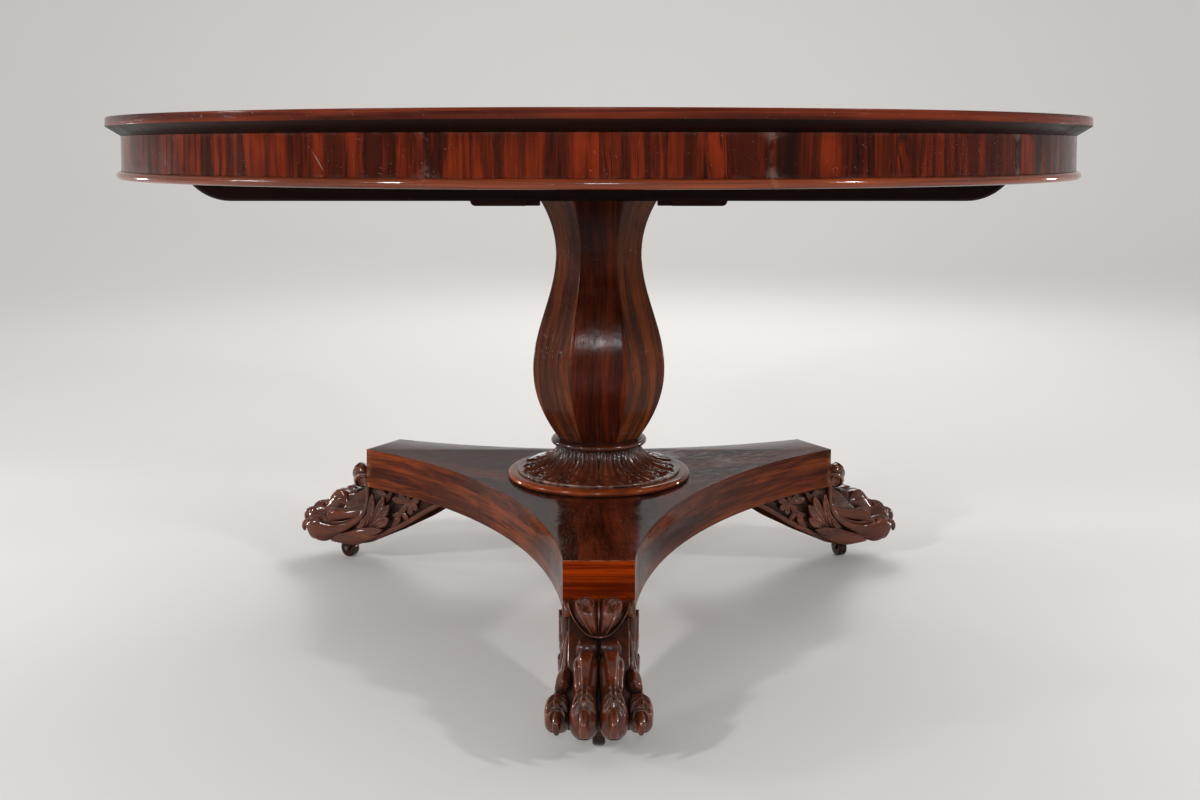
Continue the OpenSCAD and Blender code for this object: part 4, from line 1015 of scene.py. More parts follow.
@dataclass
class Column:
    """The octagonal baluster with its turned ring, carved collar and round plinth."""

    low: float = 0.262
    high: float = 0.6205
    head: float = 0.088
    neck: float = 0.0635
    belly: float = 0.097
    waist: float = 0.059
    neck_drop: float = 0.0822
    belly_rise: float = 0.1063
    crispness: float = 150.0
    ring_radius: float = 0.0718
    ring_low: float = 0.248
    collar_low: float = 0.211
    collar_radius: float = 0.122
    collar_top: float = 0.062
    plinth_low: float = 0.2005
    plinth_radius: float = 0.1365
    bore: float = 0.0322
    leaves: int = 24
    leaf_rise: float = 0.0012
    rim_rise: float = 0.0018
    small_rise: float = 0.0020
    cut_depth: float = 0.0034
    ground: float = 0.0022

    def half_width(self, z: Array) -> Array:
        """Half the width across flats at a height: two parabolas with a cosine between them.

        Args:
            z: heights, in metres.

        Returns:
            Half the width there, in metres.
        """
        neck_z, belly_z = self.high - self.neck_drop, self.low + self.belly_rise
        foot = self.belly - (self.belly - self.waist) * ramp(belly_z - z, self.belly_rise) ** 2
        head = self.neck + (self.head - self.neck) * ramp(z - neck_z, self.neck_drop) ** 2
        share = ramp(z - belly_z, neck_z - belly_z)
        middle = self.belly - (self.belly - self.neck) * (1 - np.cos(np.pi * share)) / 2
        return np.where(z < belly_z, foot, np.where(z > neck_z, head, middle))

    def shaft(self) -> Surface:
        """Eight flats: the half width over the power mean of the cosines to each flat, which eases the
        arrises.

        Returns:
            The surface.
        """
        z = np.linspace(self.low, self.high, 150)
        across = np.degrees(np.arctan(np.tan(np.radians(22.5))
                                      * np.sin(np.radians(np.linspace(-90, 90, 23)))))
        angles = np.radians(np.concatenate([across[:-1] + 45 * k for k in range(8)]))
        flats = np.radians(np.arange(8) * 45.0)
        cosines = np.maximum(np.cos(angles[:, None] - flats), 0)
        mean = np.sum(cosines**self.crispness, axis=1) ** (1 / self.crispness)
        radius = self.half_width(z)[:, None] / mean
        rows = np.stack([radius * np.cos(angles), radius * np.sin(angles), z[:, None] + 0 * radius],
                        axis=-1)
        return grid_surface(rows, caps="flat")

    def ring(self) -> Surface:
        """The turned ring: a flat top, a round edge and a hollow under it.

        Returns:
            The surface.
        """
        low, r = self.ring_low, self.ring_radius
        edge = rounded_corner((r - 0.0045, low + 0.0075), -60, 90, 0.0045, 10)
        profile = np.concatenate([
            [(self.bore, low), (self.collar_top - 0.001, low), (self.collar_top + 0.001, low + 0.0022),
             (r - 0.006, low + 0.0030)], edge,
            [(r - 0.0085, low + 0.0124), (r - 0.0105, low + 0.0140), (self.bore, low + 0.0140)]])
        return revolved(profile, 192)

    def plinth(self) -> Surface:
        """The round plinth: a flat top with a small step, over a rounded edge.

        Returns:
            The surface.
        """
        low, high, r = self.plinth_low, self.collar_low, self.plinth_radius
        half = (high - low) / 2
        edge = rounded_corner((r - half, low + half), -90, 78, half, 16)
        profile = np.concatenate([[(self.bore, low)], edge, [(r - half - 0.0035, high), (self.bore, high)]])
        return revolved(profile, 256)

    def collar(self) -> Surface:
        """The carved collar: a hollow quarter curve cut into leaves, worked as height over (angle, share
        down it).

        Each leaf has a raised rim and midrib, ribs that fan from the top, and a scalloped tip. A smaller
        leaf shows between each two.

        Returns:
            The surface.
        """
        columns, rows = self.leaves * 40, 96
        angle = full_turn(columns)[None, :]
        share = np.linspace(0, 1, rows)[:, None]
        low_r, high_r = self.collar_radius - 0.004, self.collar_top
        low_z, high_z = self.collar_low + 0.0045, self.ring_low
        turn = share * np.pi / 2
        radius = high_r + (low_r - high_r) * (1 - np.cos(turn))
        height = high_z - (high_z - low_z) * np.sin(turn)
        out = np.stack([(high_z - low_z) * np.cos(turn), (low_r - high_r) * np.sin(turn)])
        out /= np.linalg.norm(out, axis=0)
        big = self.leaves / 2
        phase = (angle * big / (2 * np.pi)) % 1.0 - 0.5
        half_leaf = 0.40 + 0.10 * np.sin(np.pi * np.clip(share * 1.1, 0, 1))
        lobes = 0.055 * np.abs(np.sin(5.0 * np.pi * share + 0.6)) * share
        edge = np.abs(phase) / (half_leaf + lobes)
        body = np.clip(1 - edge**6, 0, 1)
        tip = ramp(0.985 - 0.16 * (2 * np.abs(phase)) ** 1.6 - share, 0.03)
        rib = swell(phase, 0.035)
        fan = 0.5 + 0.5 * np.cos(2 * np.pi * phase * (5.0 - 1.6 * share))
        rim = swell(edge - 0.86, 0.10)
        carved = self.leaf_rise * (body + rib) + self.rim_rise * rim
        carved = carved + self.cut_depth * fan * (1 - 0.40 * share) * body
        eye_row = swell(share - 0.62, 0.05) + swell(share - 0.82, 0.04)
        eyes = swell(np.abs(phase) - 0.27, 0.055) * eye_row
        carved = carved * tip - self.cut_depth * eyes * tip
        between = ((angle * big / (2 * np.pi) + 0.5) % 1.0) - 0.5
        small_leaf = np.clip(1 - (np.abs(between) / 0.13) ** 2, 0, 1) * ramp(share - 0.45, 0.3)
        small_leaf = small_leaf * ramp(0.97 - share, 0.05)
        carved = np.maximum(carved, self.small_rise * small_leaf * (1 + 0.4 * np.cos(40 * np.pi * between)))
        fade = ramp(share, 0.04)
        carved = (carved - self.ground) * fade
        r = radius + out[0] * carved
        z = height + out[1] * carved
        face = np.stack([r * np.cos(angle), r * np.sin(angle), z + 0 * angle], axis=-1)
        rim_r, foot_z = self.collar_radius, self.collar_low
        below = np.array([(rim_r - 0.0015, low_z), (rim_r, low_z - 0.0012), (rim_r, foot_z),
                          (self.bore, foot_z), (self.bore, high_z)])
        out_r, out_z = below[:, :1], below[:, 1:]
        rest = np.stack([out_r * np.cos(angle), out_r * np.sin(angle), out_z + 0 * angle], axis=-1)
        return grid_surface(np.concatenate([face, rest]), loop=True)

    def dress(self, finishes: dict[str, bpy.types.Material]) -> None:
        """Makes the column, its ring, its collar and its plinth.

        Args:
            finishes: the materials by their keys.
        """
        piece("column_shaft", self.shaft(), finishes["column"], "base", ["column"], sharp=50)
        piece("column_foot_ring", self.ring(), finishes["dark_moulding"], "base",
              ["column_ring"], sharp=50)
        piece("leaf_collar", self.collar(), finishes["collar"], "base",
              ["carved_collar"], sharp=None)
        piece("round_plinth", self.plinth(), finishes["moulding"], "base",
              ["collar_plinth"])


@dataclass
class Platform:
    """The three-armed platform."""

    low: float = 0.1382
    high: float = 0.2005
    arm: float = 0.4147
    arm_width: float = 0.087
    side_depth: float = 0.1715
    edge: float = 0.0009

    def outline(self) -> Array:
        """Three square arm ends joined by arcs that bow inwards, counter-clockwise.

        Returns:
            Points of shape (n, 2).
        """
        points = []
        for turn in (-90.0, 30.0, 150.0):
            a = math.radians(turn)
            out, across = np.array([math.cos(a), math.sin(a)]), np.array([-math.sin(a), math.cos(a)])
            near = self.arm * out + self.arm_width / 2 * across
            b = a + math.radians(120)
            out_b, across_b = np.array([math.cos(b), math.sin(b)]), np.array([-math.sin(b), math.cos(b)])
            far = self.arm * out_b - self.arm_width / 2 * across_b
            middle = math.radians(turn + 60)
            axis = np.array([math.cos(middle), math.sin(middle)])
            cross = np.array([-axis[1], axis[0]])
            along, side = near @ axis, abs(near @ cross)
            radius = ((along - self.side_depth) ** 2 + side**2) / (2 * (along - self.side_depth))
            half = math.asin(side / radius)
            t = np.linspace(-half, half, 72)[:, None]
            arc = (self.side_depth + radius * (1 - np.cos(t))) * axis + radius * np.sin(t) * cross
            points += [self.arm * out - self.arm_width / 2 * across, *arc[:-1]]
            points.append(far)
        cleaned = [p for i, p in enumerate(points) if np.linalg.norm(p - points[i - 1]) > 1e-5]
        return np.array(cleaned)

    def dress(self, finishes: dict[str, bpy.types.Material]) -> None:
        """Makes the platform, and gives its upper face and the arms' ends their own veneers.

        Args:
            finishes: the materials by their keys.
        """
        made = piece("platform_board", plate(self.outline(), self.low, self.high, self.edge),
                     finishes["platform_side"], "base", ["platform"], sharp=50)
        normals = facing(made)
        outward = [np.array([math.cos(math.radians(a)), math.sin(math.radians(a)), 0])
                   for a in FOOT_TURNS.values()]
        at_end = np.max([normals @ out for out in outward], axis=0) > 0.985
        dress_faces(made, [finishes["platform_top"], finishes["cant"]], [normals[:, 2] > 0.8, at_end])


@dataclass
class CarvedFoot:
    """One carved foot: bracket, palm, four clawed toes, rolled leaf in front, leaves and flower at the sides.

    Its own frame is in millimetres: u out along the arm, v across it and z up. A member is a list of
    stations (du, dz, pu, pz, v, a): the upper point and the lower point of a section, its place across
    the foot and its half width there. A leaf is a list of (u, z, half width, v, half thickness) along its
    vein.
    """

    direction: float
    arm_end: float = 414.7

    CENTRAL_TOE = (
        (463, 104, 457, 76, 13.6, 12.0), (474, 113, 468, 78, 14.0, 13.9), (484, 118, 478, 80, 14.4, 14.9),
        (493.5, 119, 486, 76, 14.6, 15.2), (502, 115.5, 494, 70, 14.6, 14.8),
        (510.5, 107.5, 502, 58, 14.8, 14.0), (519.5, 98.5, 510, 44, 15.3, 13.9),
        (529.5, 94, 518, 35.5, 15.9, 14.9), (539.5, 91.5, 526, 36, 16.3, 15.9),
        (549, 86, 533, 37, 16.6, 16.4), (555, 77.5, 539, 39, 16.6, 15.8))
    SECOND_FINGER = (
        (416, 121, 409, 112, 35, 4), (424, 109, 416, 97, 35.5, 5.5), (438, 99.5, 428, 84, 36, 6.5),
        (456, 95, 449, 78, 36.6, 7.5), (472, 93.5, 469, 73, 38, 8.6), (485, 93.5, 483, 69, 39.8, 9.4),
        (496, 89, 491, 64, 41.2, 9.2))
    OUTER_TOE = (
        (424, 155, 411.5, 147, 39.5, 3.6), (421.5, 146, 411.2, 142, 39.5, 4.6),
        (418.8, 135, 411, 134, 39.5, 4.6), (418.3, 120, 411, 120, 39.6, 4.6),
        (422.5, 103, 414, 101, 39.8, 4.8), (437, 87.5, 426, 81, 40.3, 5.5), (460, 76, 449, 64, 41.3, 6.5),
        (480, 71.5, 472, 51, 43, 8.5), (496, 74, 488, 41.5, 44.8, 11.5), (510, 77, 499, 36.8, 46.2, 14.0),
        (524, 75, 509, 36.4, 46.8, 14.8), (535, 66.5, 518, 38.5, 46.8, 13.8))
    PALM = (
        (415, 124, 415, 60, 0, 35), (440, 108, 440, 44, 0, 35), (462, 98, 460, 38, 0, 36),
        (490, 84, 485, 36.4, 0, 40), (508, 68, 506, 36.2, 0, 43), (519, 56, 516, 36.6, 0, 42))
    SOLE_LOBE = (
        (490, 50, 490, 36.3, 40, 8.0), (481, 52.5, 481, 36.1, 40.5, 8.8), (465, 55.5, 465, 36.1, 41, 8.8),
        (449, 60.5, 449, 36.3, 41.3, 8.5), (435, 66, 436, 38.6, 41.3, 8), (419, 68, 421, 43.8, 41, 7.4),
        (404, 68, 405, 51, 40.8, 6.0), (391, 66.5, 393, 58, 40.5, 2.5))
    LEAVES = (
        ((426, 68, 3.0, 40, 4.0), (417, 78, 5.0, 42, 4.5), (411.5, 90, 5.0, 43, 4.0),
         (409, 102, 1.2, 43, 1.8)),
        ((419, 70, 4.0, 38.5, 4.5), (410, 86, 7.0, 41.5, 5.0), (404.5, 101, 8.0, 43.8, 5.0),
         (401.5, 115, 6.0, 45.2, 4.2), (401, 128, 1.2, 46, 1.8)),
        ((380, 114, 3.5, 40, 3.5), (377.5, 126, 5.5, 42, 3.5), (385, 132.5, 5.0, 43, 3.2),
         (397, 131.5, 1.2, 43, 1.6)),
        ((376, 118, 3.0, 40, 3.5), (370, 128, 4.5, 41.5, 3.2), (363, 136, 1.2, 42, 1.6)),
        ((413, 69, 4.0, 38.5, 4.5), (398, 86, 7.5, 41.3, 5.0), (388, 102, 9.0, 43.6, 5.2),
         (381.5, 115, 7.0, 46, 4.2), (376.5, 127, 1.5, 47.5, 1.8)),
        ((411, 68, 4.0, 38.5, 4.5), (396, 81, 7.5, 41.0, 5.0), (383.5, 94, 9.0, 43.6, 5.2),
         (373.5, 105, 7.5, 46.2, 4.2), (365, 115, 1.5, 48, 1.8)),
        ((411, 66, 4.0, 38.5, 4.5), (398, 74.5, 7.0, 41.0, 5.0), (386, 81.5, 8.8, 43.8, 5.2),
         (376, 87, 8.0, 46.2, 4.2), (366.5, 92.5, 2.2, 48, 1.8)),
        ((437, 66, 3.0, 41, 4.0), (427.5, 71.5, 4.8, 43, 4.5), (420.5, 79.5, 4.6, 44, 4.0),
         (417, 89, 1.2, 44, 1.6)),
        ((428, 64, 4.0, 42, 4.5), (413, 65, 6.0, 45, 4.5), (400, 67, 6.8, 46.5, 4.2),
         (389, 69.5, 4.5, 47.5, 3.5), (380, 72.5, 1.2, 48, 1.6)))
    FLOWER = (330.0, 121.0)
    DEEP_DISH = 2.0
    PETALS = (
        (362, 125, 6.0), (349, 134.5, 5.0), (330, 136.5, 4.5), (308, 132, 6.0), (311, 115, 6.0),
        (325, 104, 6.0), (345, 106, 5.5))
    SPRIGS = (
        ((343, 110, 2.5, 37, 3.5), (341, 103, 5.5, 39.5, 4.0), (335, 97, 4.5, 40, 3.5),
         (330, 94, 1.2, 40, 1.6)),
        ((346, 108, 2.5, 37, 3.5), (351, 100, 5.5, 39.5, 4.0), (359, 98, 4.0, 40, 3.2),
         (365, 99, 1.2, 40, 1.6)),
        ((350, 101, 2.5, 37, 3.5), (353, 92, 6.2, 39.8, 4.0), (359, 84, 4.8, 40, 3.2),
         (367, 78, 1.2, 40, 1.6)))
    LOBE = (
        (442, 167.0, 430, 149, 15.8, 9.6), (452, 167.0, 436, 147, 15.8, 12.4),
        (461.5, 160.0, 442, 145, 14.8, 12.2), (466.5, 150, 446, 142, 12.6, 10.6),
        (467, 140, 449.5, 137, 9.8, 8.2), (464.5, 131, 452, 132, 6.8, 5.4),
        (460, 125.5, 454, 128.5, 4.6, 3.0))
    STEM = (
        (437, 164.0, 436, 150, 0, 3.8), (446, 162.5, 440, 150, 0, 4.6), (454.5, 157.5, 445, 148, 0, 4.6),
        (460, 150, 448, 144, 0, 3.6), (462.5, 141, 451, 138, 0, 2.6), (461, 131, 453.5, 131, 0, 1.5))
    UNDERSIDE = (
        (243, 137.5), (262, 127.5), (300, 106), (335, 84), (377, 62), (391, 54.5), (409, 46), (430, 40.5),
        (452, 37.2), (480, 36.1))

    def member(self, stations: Sequence[Sequence[float]], along: int, around: int, power: float = 2.0,
               carve: Optional[Callable[[Array, Array], Array]] = None, side: int = 1,
               nose: float = 0.0) -> Surface:
        """A carved member through its stations.

        Each ring lies across the run from the lower point to the upper one, as the curve
        (|cos|, |sin|) to the 2/power, and carve moves its points in or out in millimetres.

        Args:
            stations: the member's sections.
            along: rings.
            around: points in a ring.
            power: 2 is an ellipse, and more is squarer.
            carve: from (share along, angle) to a rise in millimetres. Angle 90 degrees is the upper side.
            side: -1 mirrors it across the foot.
            nose: length of the half-round end past the last station.

        Returns:
            The surface, in the foot's frame.
        """
        share = np.linspace(0, 1, along)
        s = through(np.array(stations, dtype=float), share)
        angle = full_turn(around)
        middle = np.stack([(s[:, 0] + s[:, 2]) / 2, s[:, 4], (s[:, 1] + s[:, 3]) / 2], axis=1)
        rise = np.stack([(s[:, 0] - s[:, 2]) / 2, 0 * s[:, 0], (s[:, 1] - s[:, 3]) / 2], axis=1)
        across = np.stack([0 * s[:, 0], np.maximum(s[:, 5], 0.2), 0 * s[:, 0]], axis=1)
        if nose > 0:
            turn = np.radians(np.linspace(0, 90, 15)[1:])[:, None]
            run = middle[-1] - middle[-2]
            up = rise[-1] / np.linalg.norm(rise[-1])
            run = run - up * (run @ up)
            run /= np.linalg.norm(run)
            shrink = np.maximum(np.cos(turn), 0.02)
            middle = np.concatenate([middle, middle[-1] + run * nose * np.sin(turn)])
            rise = np.concatenate([rise, rise[-1] * shrink])
            across = np.concatenate([across, across[-1] * shrink])
        share = np.linspace(0, 1, len(middle))
        c, n = np.cos(angle), np.sin(angle)
        flat_c, flat_n = np.sign(c) * np.abs(c) ** (2 / power), np.sign(n) * np.abs(n) ** (2 / power)
        rows = middle[:, None] + across[:, None] * flat_c[None, :, None]
        rows = rows + rise[:, None] * flat_n[None, :, None]
        if carve is not None:
            outward = across[:, None] * c[None, :, None] + rise[:, None] * n[None, :, None]
            outward /= np.linalg.norm(outward, axis=2, keepdims=True)
            rows = rows + outward * carve(share[:, None], angle[None, :])[..., None]
        return grid_surface(rows * np.array([1, side, 1]))

    def leaf(self, vein: Sequence[Sequence[float]], side: int, along: int = 50, around: int = 48,
             veins: float = 6.0, hollow: float = 2.4) -> Surface:
        """A leaf along its vein, hollowed down the middle of its outer face, with slanting veins.

        Args:
            vein: (u, z, half width, v, half thickness) from root to tip.
            side: -1 mirrors it across the foot.
            along: rings.
            around: points in a ring.
            veins: slanting veins in each half.
            hollow: depth of the hollow in millimetres.

        Returns:
            The surface.
        """
        s = through(np.array(vein, dtype=float), np.linspace(0, 1, along))
        run = np.gradient(s[:, :2], axis=0)
        run /= np.linalg.norm(run, axis=1, keepdims=True)
        square = np.stack([-run[:, 1], run[:, 0]], axis=1)
        d, p = s[:, :2] + square * s[:, 2:3], s[:, :2] - square * s[:, 2:3]
        stations = np.column_stack([d, p, s[:, 3], np.maximum(s[:, 4], 0.3)])
        width = np.maximum(s[:, 2], 0.5)[:, None]

        def carve(share: Array, angle: Array) -> Array:
            """A dished outer face with a fine raised midrib and slanting veins that fade towards the
            edge.

            Args:
                share: share along the leaf.
                angle: round it, 0 on the outer face.

            Returns:
                The rise, in millimetres.
            """
            face = np.clip(np.cos(angle), 0, 1)
            from_vein = np.sin(angle)
            bowl = -hollow * swell(from_vein, 0.62, 4) * face * ramp(width, 7)
            rib = 0.9 * swell(from_vein, 0.10) * face
            slant = 0.32 * np.cos(2 * np.pi * (share * veins - np.abs(from_vein) * 1.6)) * face
            return (bowl + rib + slant * swell(from_vein, 0.8, 6)) * ramp(1 - share, 0.08)

        return self.member(stations, along, around, 2.6, carve, side)

    def toe_carving(self, start: float, stop: float, knuckle: float) -> Callable[[Array, Array], Array]:
        """The carving on a toe: a tendon to the knuckle, a feather of barbs, and the hood round the claw.

        Args:
            start: share of the toe's length where the feather starts.
            stop: where the feather ends and the hood stands.
            knuckle: share of the toe's length where the tendon ends.

        Returns:
            A function from (share along, angle) to a rise in millimetres.
        """
        def carve(share: Array, angle: Array) -> Array:
            """The rib stands out, the barbs are cut in beside it, and the hood rings the claw's root.

            Args:
                share: share along the toe.
                angle: round it, 90 degrees on top.

            Returns:
                The rise, in millimetres.
            """
            offset = np.abs(angle - np.pi / 2)
            reach = (share - start) / (stop - start)
            half = 0.34 + 0.56 * np.clip(reach, 0, 1)
            inside = ramp(reach, 0.08) * ramp(1.02 - reach, 0.08)
            field_edge = offset / half
            barbs = 0.5 - 0.5 * np.cos(2 * np.pi * (reach * 3.6 - offset * 1.35 + 0.25))
            rib_half = 0.15 * (1 - 0.25 * np.clip(reach, 0, 1))
            rib = swell(offset, rib_half, 6) - 0.55 * swell(offset, 0.35 * rib_half)
            cut = swell(field_edge, 0.92, 10) * (1 - rib)
            feather = inside * (1.5 * rib - 3.8 * cut * (0.06 + 0.94 * barbs))
            arch = reach - 1.02 - 0.13 * (offset / 0.5) ** 2
            hood = 2.6 * swell(arch, 0.045) - 1.6 * swell(arch - 0.10, 0.05)
            hood = hood * swell(offset, 0.95, 6)
            along = ramp(share - knuckle + 0.16, start - knuckle + 0.16)
            shown = ramp(share - knuckle + 0.24, 0.20) * ramp(start + 0.015 - share, 0.03)
            apart = 0.50 - 0.38 * along
            ridges = 1.5 * swell(offset - apart, 0.12)
            flanks = -4.2 * swell(offset - apart - 0.40, 0.26)
            between = -0.5 * swell(offset, 0.6 * apart, 4)
            return feather + hood + shown * (ridges + flanks + between)

        return carve

    def toes(self) -> list[Surface]:
        """Two middle toes and two outer ones, with a finger above each outer one, and their claws.

        Returns:
            One surface for each.
        """
        made = []
        for side in (-1, 1):
            made.append(self.member(self.CENTRAL_TOE, 190, 96, 2.15, self.toe_carving(0.62, 0.915, 0.34),
                                    side, nose=10.0))
            made.append(self.member(self.SECOND_FINGER, 60, 44, 2.1, self.knuckle_ridge, side, nose=6.0))
            made.append(self.outer_toe(side))
            made.append(self.claw((551, 73.5), (572, 53.5), 16.6, 6.5, side))
            made.append(self.claw((532, 63), (550, 48), 46.8, 5.6, side))
        return made

    @staticmethod
    def knuckle_ridge(share: Array, angle: Array) -> Array:
        """An upright crease that parts the knuckle in two, near the finger's end.

        Args:
            share: share along the finger.
            angle: round it, 90 degrees on top.

        Returns:
            The rise, in millimetres.
        """
        offset = np.abs(angle - np.pi / 2)
        near_end = ramp(share - 0.55, 0.15)
        return near_end * (1.0 * swell(offset, 0.12) - 1.0 * swell(offset - 0.5, 0.25))

    def outer_toe(self, side: int) -> Surface:
        """The strap that runs down from the roll into the outer toe.

        Args:
            side: -1 mirrors it across the foot.

        Returns:
            The surface.
        """
        carve = self.toe_carving(0.735, 0.925, 0.60)

        def grooved(share: Array, angle: Array) -> Array:
            """The toe's carving, with the deep groove where the finger above lies against it.

            Args:
                share: share along the toe.
                angle: round it, 90 degrees on top.

            Returns:
                The rise, in millimetres.
            """
            where = ramp(share - 0.36, 0.06) * ramp(0.78 - share, 0.06)
            return carve(share, angle) - 2.6 * where * swell(angle - 1.02, 0.17)

        return self.member(self.OUTER_TOE, 230, 84, 2.8, grooved, side, nose=8.5)

    def claw(self, root: tuple[float, float], tip: tuple[float, float], v: float, width: float,
             side: int) -> Surface:
        """A horn that curves out and down from its root to a blunt point, a little flat on its sides.

        Args:
            root: (u, z) where it leaves the toe.
            tip: (u, z) of its point.
            v: its place across the foot.
            width: half its thickness at the root.
            side: -1 mirrors it across the foot.

        Returns:
            The surface.
        """
        share = np.linspace(0, 1, 30)[:, None]
        bow = 6.0 * np.sin(np.pi * share**0.9)
        u = root[0] + (tip[0] - root[0]) * share + bow
        z = root[1] + (tip[1] - root[1]) * share + bow * 0.35
        size = width * (1 - 0.30 * share) * np.clip(1 - share**7, 0, 1) ** 0.5 + 0.8
        angle = full_turn(32)[None, :]
        run = np.array([tip[0] - root[0], tip[1] - root[1]], dtype=float)
        run /= np.linalg.norm(run)
        up = np.array([-run[1], run[0]])
        ridge = 1 + 0.12 * np.clip(np.sin(angle), 0, 1) ** 6
        rise = size * 1.1 * np.sin(angle) * ridge
        rows = np.stack([u + up[0] * rise, side * (v + size * 0.86 * np.cos(angle)), z + up[1] * rise],
                        axis=-1)
        return grid_surface(rows)

    def bracket(self) -> Surface:
        """The bracket under the arm: a side outline carried across, with its edges eased.

        Returns:
            The surface.
        """
        under = through(np.array(self.UNDERSIDE), np.linspace(0, 1, 60))
        outline = np.concatenate([under, [(500, 36.1), (505, 60), (470, 96), (440, 124), (424, 134)],
                                  [(414.5, 138.1), (246, 138.1)]])
        rows = []
        for v, draw in ((-36, 1.2), (-35, 0.3), (-34, 0), (34, 0), (35, 0.3), (36, 1.2)):
            o = inset(outline, draw)
            rows.append(np.column_stack([o[:, 0], np.full(len(o), v), o[:, 1]]))
        return grid_surface(np.array(rows), caps="flat")

    def bracket_edge(self, side: int) -> Surface:
        """The raised fillet along the bracket's lower edge."""
        stations = [(u + 1, z + 9.5, u, z - 0.2, 36.5, 4.4) for u, z in self.UNDERSIDE[1:8]]
        return self.member(stations, 70, 24, 5.0, None, side)

    def rolled_leaf(self) -> list[Surface]:
        """The leaf that rolls over in front of the arm: a shell with a U-shaped rim, two cupped lobes and
        a stem.

        Returns:
            The shell, the stem, and on each side a lobe, its cup and a boss.
        """
        middle, axes, thick, half = (425.0, 126.0), (33.0, 28.5), 3.6, 37.0
        start = math.radians(108)
        across = np.linspace(-1, 1, 150)[:, None]
        wide = np.abs(across)
        hang = 123.0 + 31.0 * wide**2.1
        stop = np.arcsin((hang - middle[1]) / axes[1])
        share = np.linspace(0, 1, 90)[None, :]
        angle = start + (stop - start) * share
        from_edge = (angle - stop) * axes[1]
        from_side = (1 - wide) * half
        near = 1 / (1 / np.maximum(from_edge, 0.01) ** 4 + 1 / np.maximum(from_side, 0.01) ** 4) ** 0.25
        rim = 3.2 * swell(near, 2.6, 4)
        moat = -2.6 * swell(near - 7.0, 3.4)
        relief = rim + moat

        def at(rise: Array) -> Array:
            """Points on the roll's ellipse, moved outward.

            Args:
                rise: how far, in millimetres.

            Returns:
                Points of shape (rows, columns, 3).
            """
            u = middle[0] + (axes[0] + rise) * np.cos(angle)
            z = middle[1] + (axes[1] + rise) * np.sin(angle)
            return np.stack([np.maximum(u, self.arm_end + 0.4), half * across + 0 * u, z], axis=-1)

        rows = np.concatenate([at(relief), at(-thick + 0 * relief)[:, ::-1]], axis=1)
        made = [grid_surface(rows, caps="flat"), self.member(self.STEM, 60, 48, 2.0, self.stem_ribs)]
        for side in (-1, 1):
            made.append(self.member(self.LOBE, 110, 96, 2.0, self.lobe_face, side, nose=1.5))
            made.append(self.cup(side))
            made.append(self.disc(428.0, 145.0, 8.8, 34.0, 41.0, side, 3.5))
        return made

    @staticmethod
    def stem_ribs(share: Array, angle: Array) -> Array:
        """Two grooves that part the stem into three ribs.

        Args:
            share: share along the stem.
            angle: round it, 90 degrees on top.

        Returns:
            The rise, in millimetres.
        """
        offset = np.abs(angle - np.pi / 2)
        return -1.3 * swell(offset - 0.62, 0.2) * (1 - 0.5 * share)

    @staticmethod
    def lobe_face(share: Array, angle: Array) -> Array:
        """A lobe's swelling face: a raised fold near its outer edge with a crease inside it, and fine
        veins.

        Args:
            share: share along the lobe.
            angle: round it, 90 degrees on top.

        Returns:
            The rise, in millimetres.
        """
        offset = angle - np.pi / 2
        place = offset + 0.95 - 0.75 * share
        fold = 1.3 * swell(place + 0.16, 0.12) - 1.9 * swell(place - 0.14, 0.13)
        vein = -0.7 * swell(offset - 0.25 * (1 - share), 0.10)
        eye = -6.0 * swell(share - 0.27, 0.085, 4) * swell(offset + 0.05, 0.42, 4)
        return (fold + vein) * ramp(share, 0.18) * ramp(1 - share, 0.12) + eye

    def cup(self, side: int) -> Surface:
        """The cupped top of a lobe: an open bowl with a thin lip that runs down to a point, and a dark
        eye.

        Args:
            side: -1 mirrors it across the foot.

        Returns:
            The surface.
        """
        angle = full_turn(96)[None, :]
        share = np.linspace(0, 1, 40)[:, None]
        turn = (angle - 1.5 * np.pi + np.pi) % (2 * np.pi) - np.pi
        point = swell(turn, 0.5)
        across = 11.6 * np.cos(angle) * (1 - 0.30 * point)
        upward = np.where(np.sin(angle) > 0, 7.6, 9.0) * np.sin(angle) * (1 + 0.55 * point)
        bowl = -3.4 * swell(share, 0.68, 4) - 7.0 * swell(share, 0.42, 4)
        lip = 1.5 * swell(share - 0.86, 0.09) - 2.0 * ramp(share - 0.92, 0.08)
        height = 3.6 + bowl + lip + 0.8 * point * share + 0 * angle
        tilt = math.radians(44)
        centre = np.array([453.0, 15.8, 161.0])
        normal = np.array([math.cos(tilt), 0, math.sin(tilt)])
        up = np.array([-math.sin(tilt), 0, math.cos(tilt)])
        side_way = np.array([0.0, 1.0, 0.0])
        spread = share * across, share * upward
        drop = 0.030 * np.minimum(spread[1], 0) ** 2 + 0.012 * np.maximum(spread[1], 0) ** 2
        drop = drop + 0.016 * spread[0] ** 2
        top = centre + spread[0][..., None] * side_way + spread[1][..., None] * up
        top = top + (height - drop)[..., None] * normal
        foot = centre + across[..., None] * side_way + upward[..., None] * up - 7.0 * normal
        rows = np.concatenate([top, foot]) * np.array([1, side, 1])
        return grid_surface(rows)

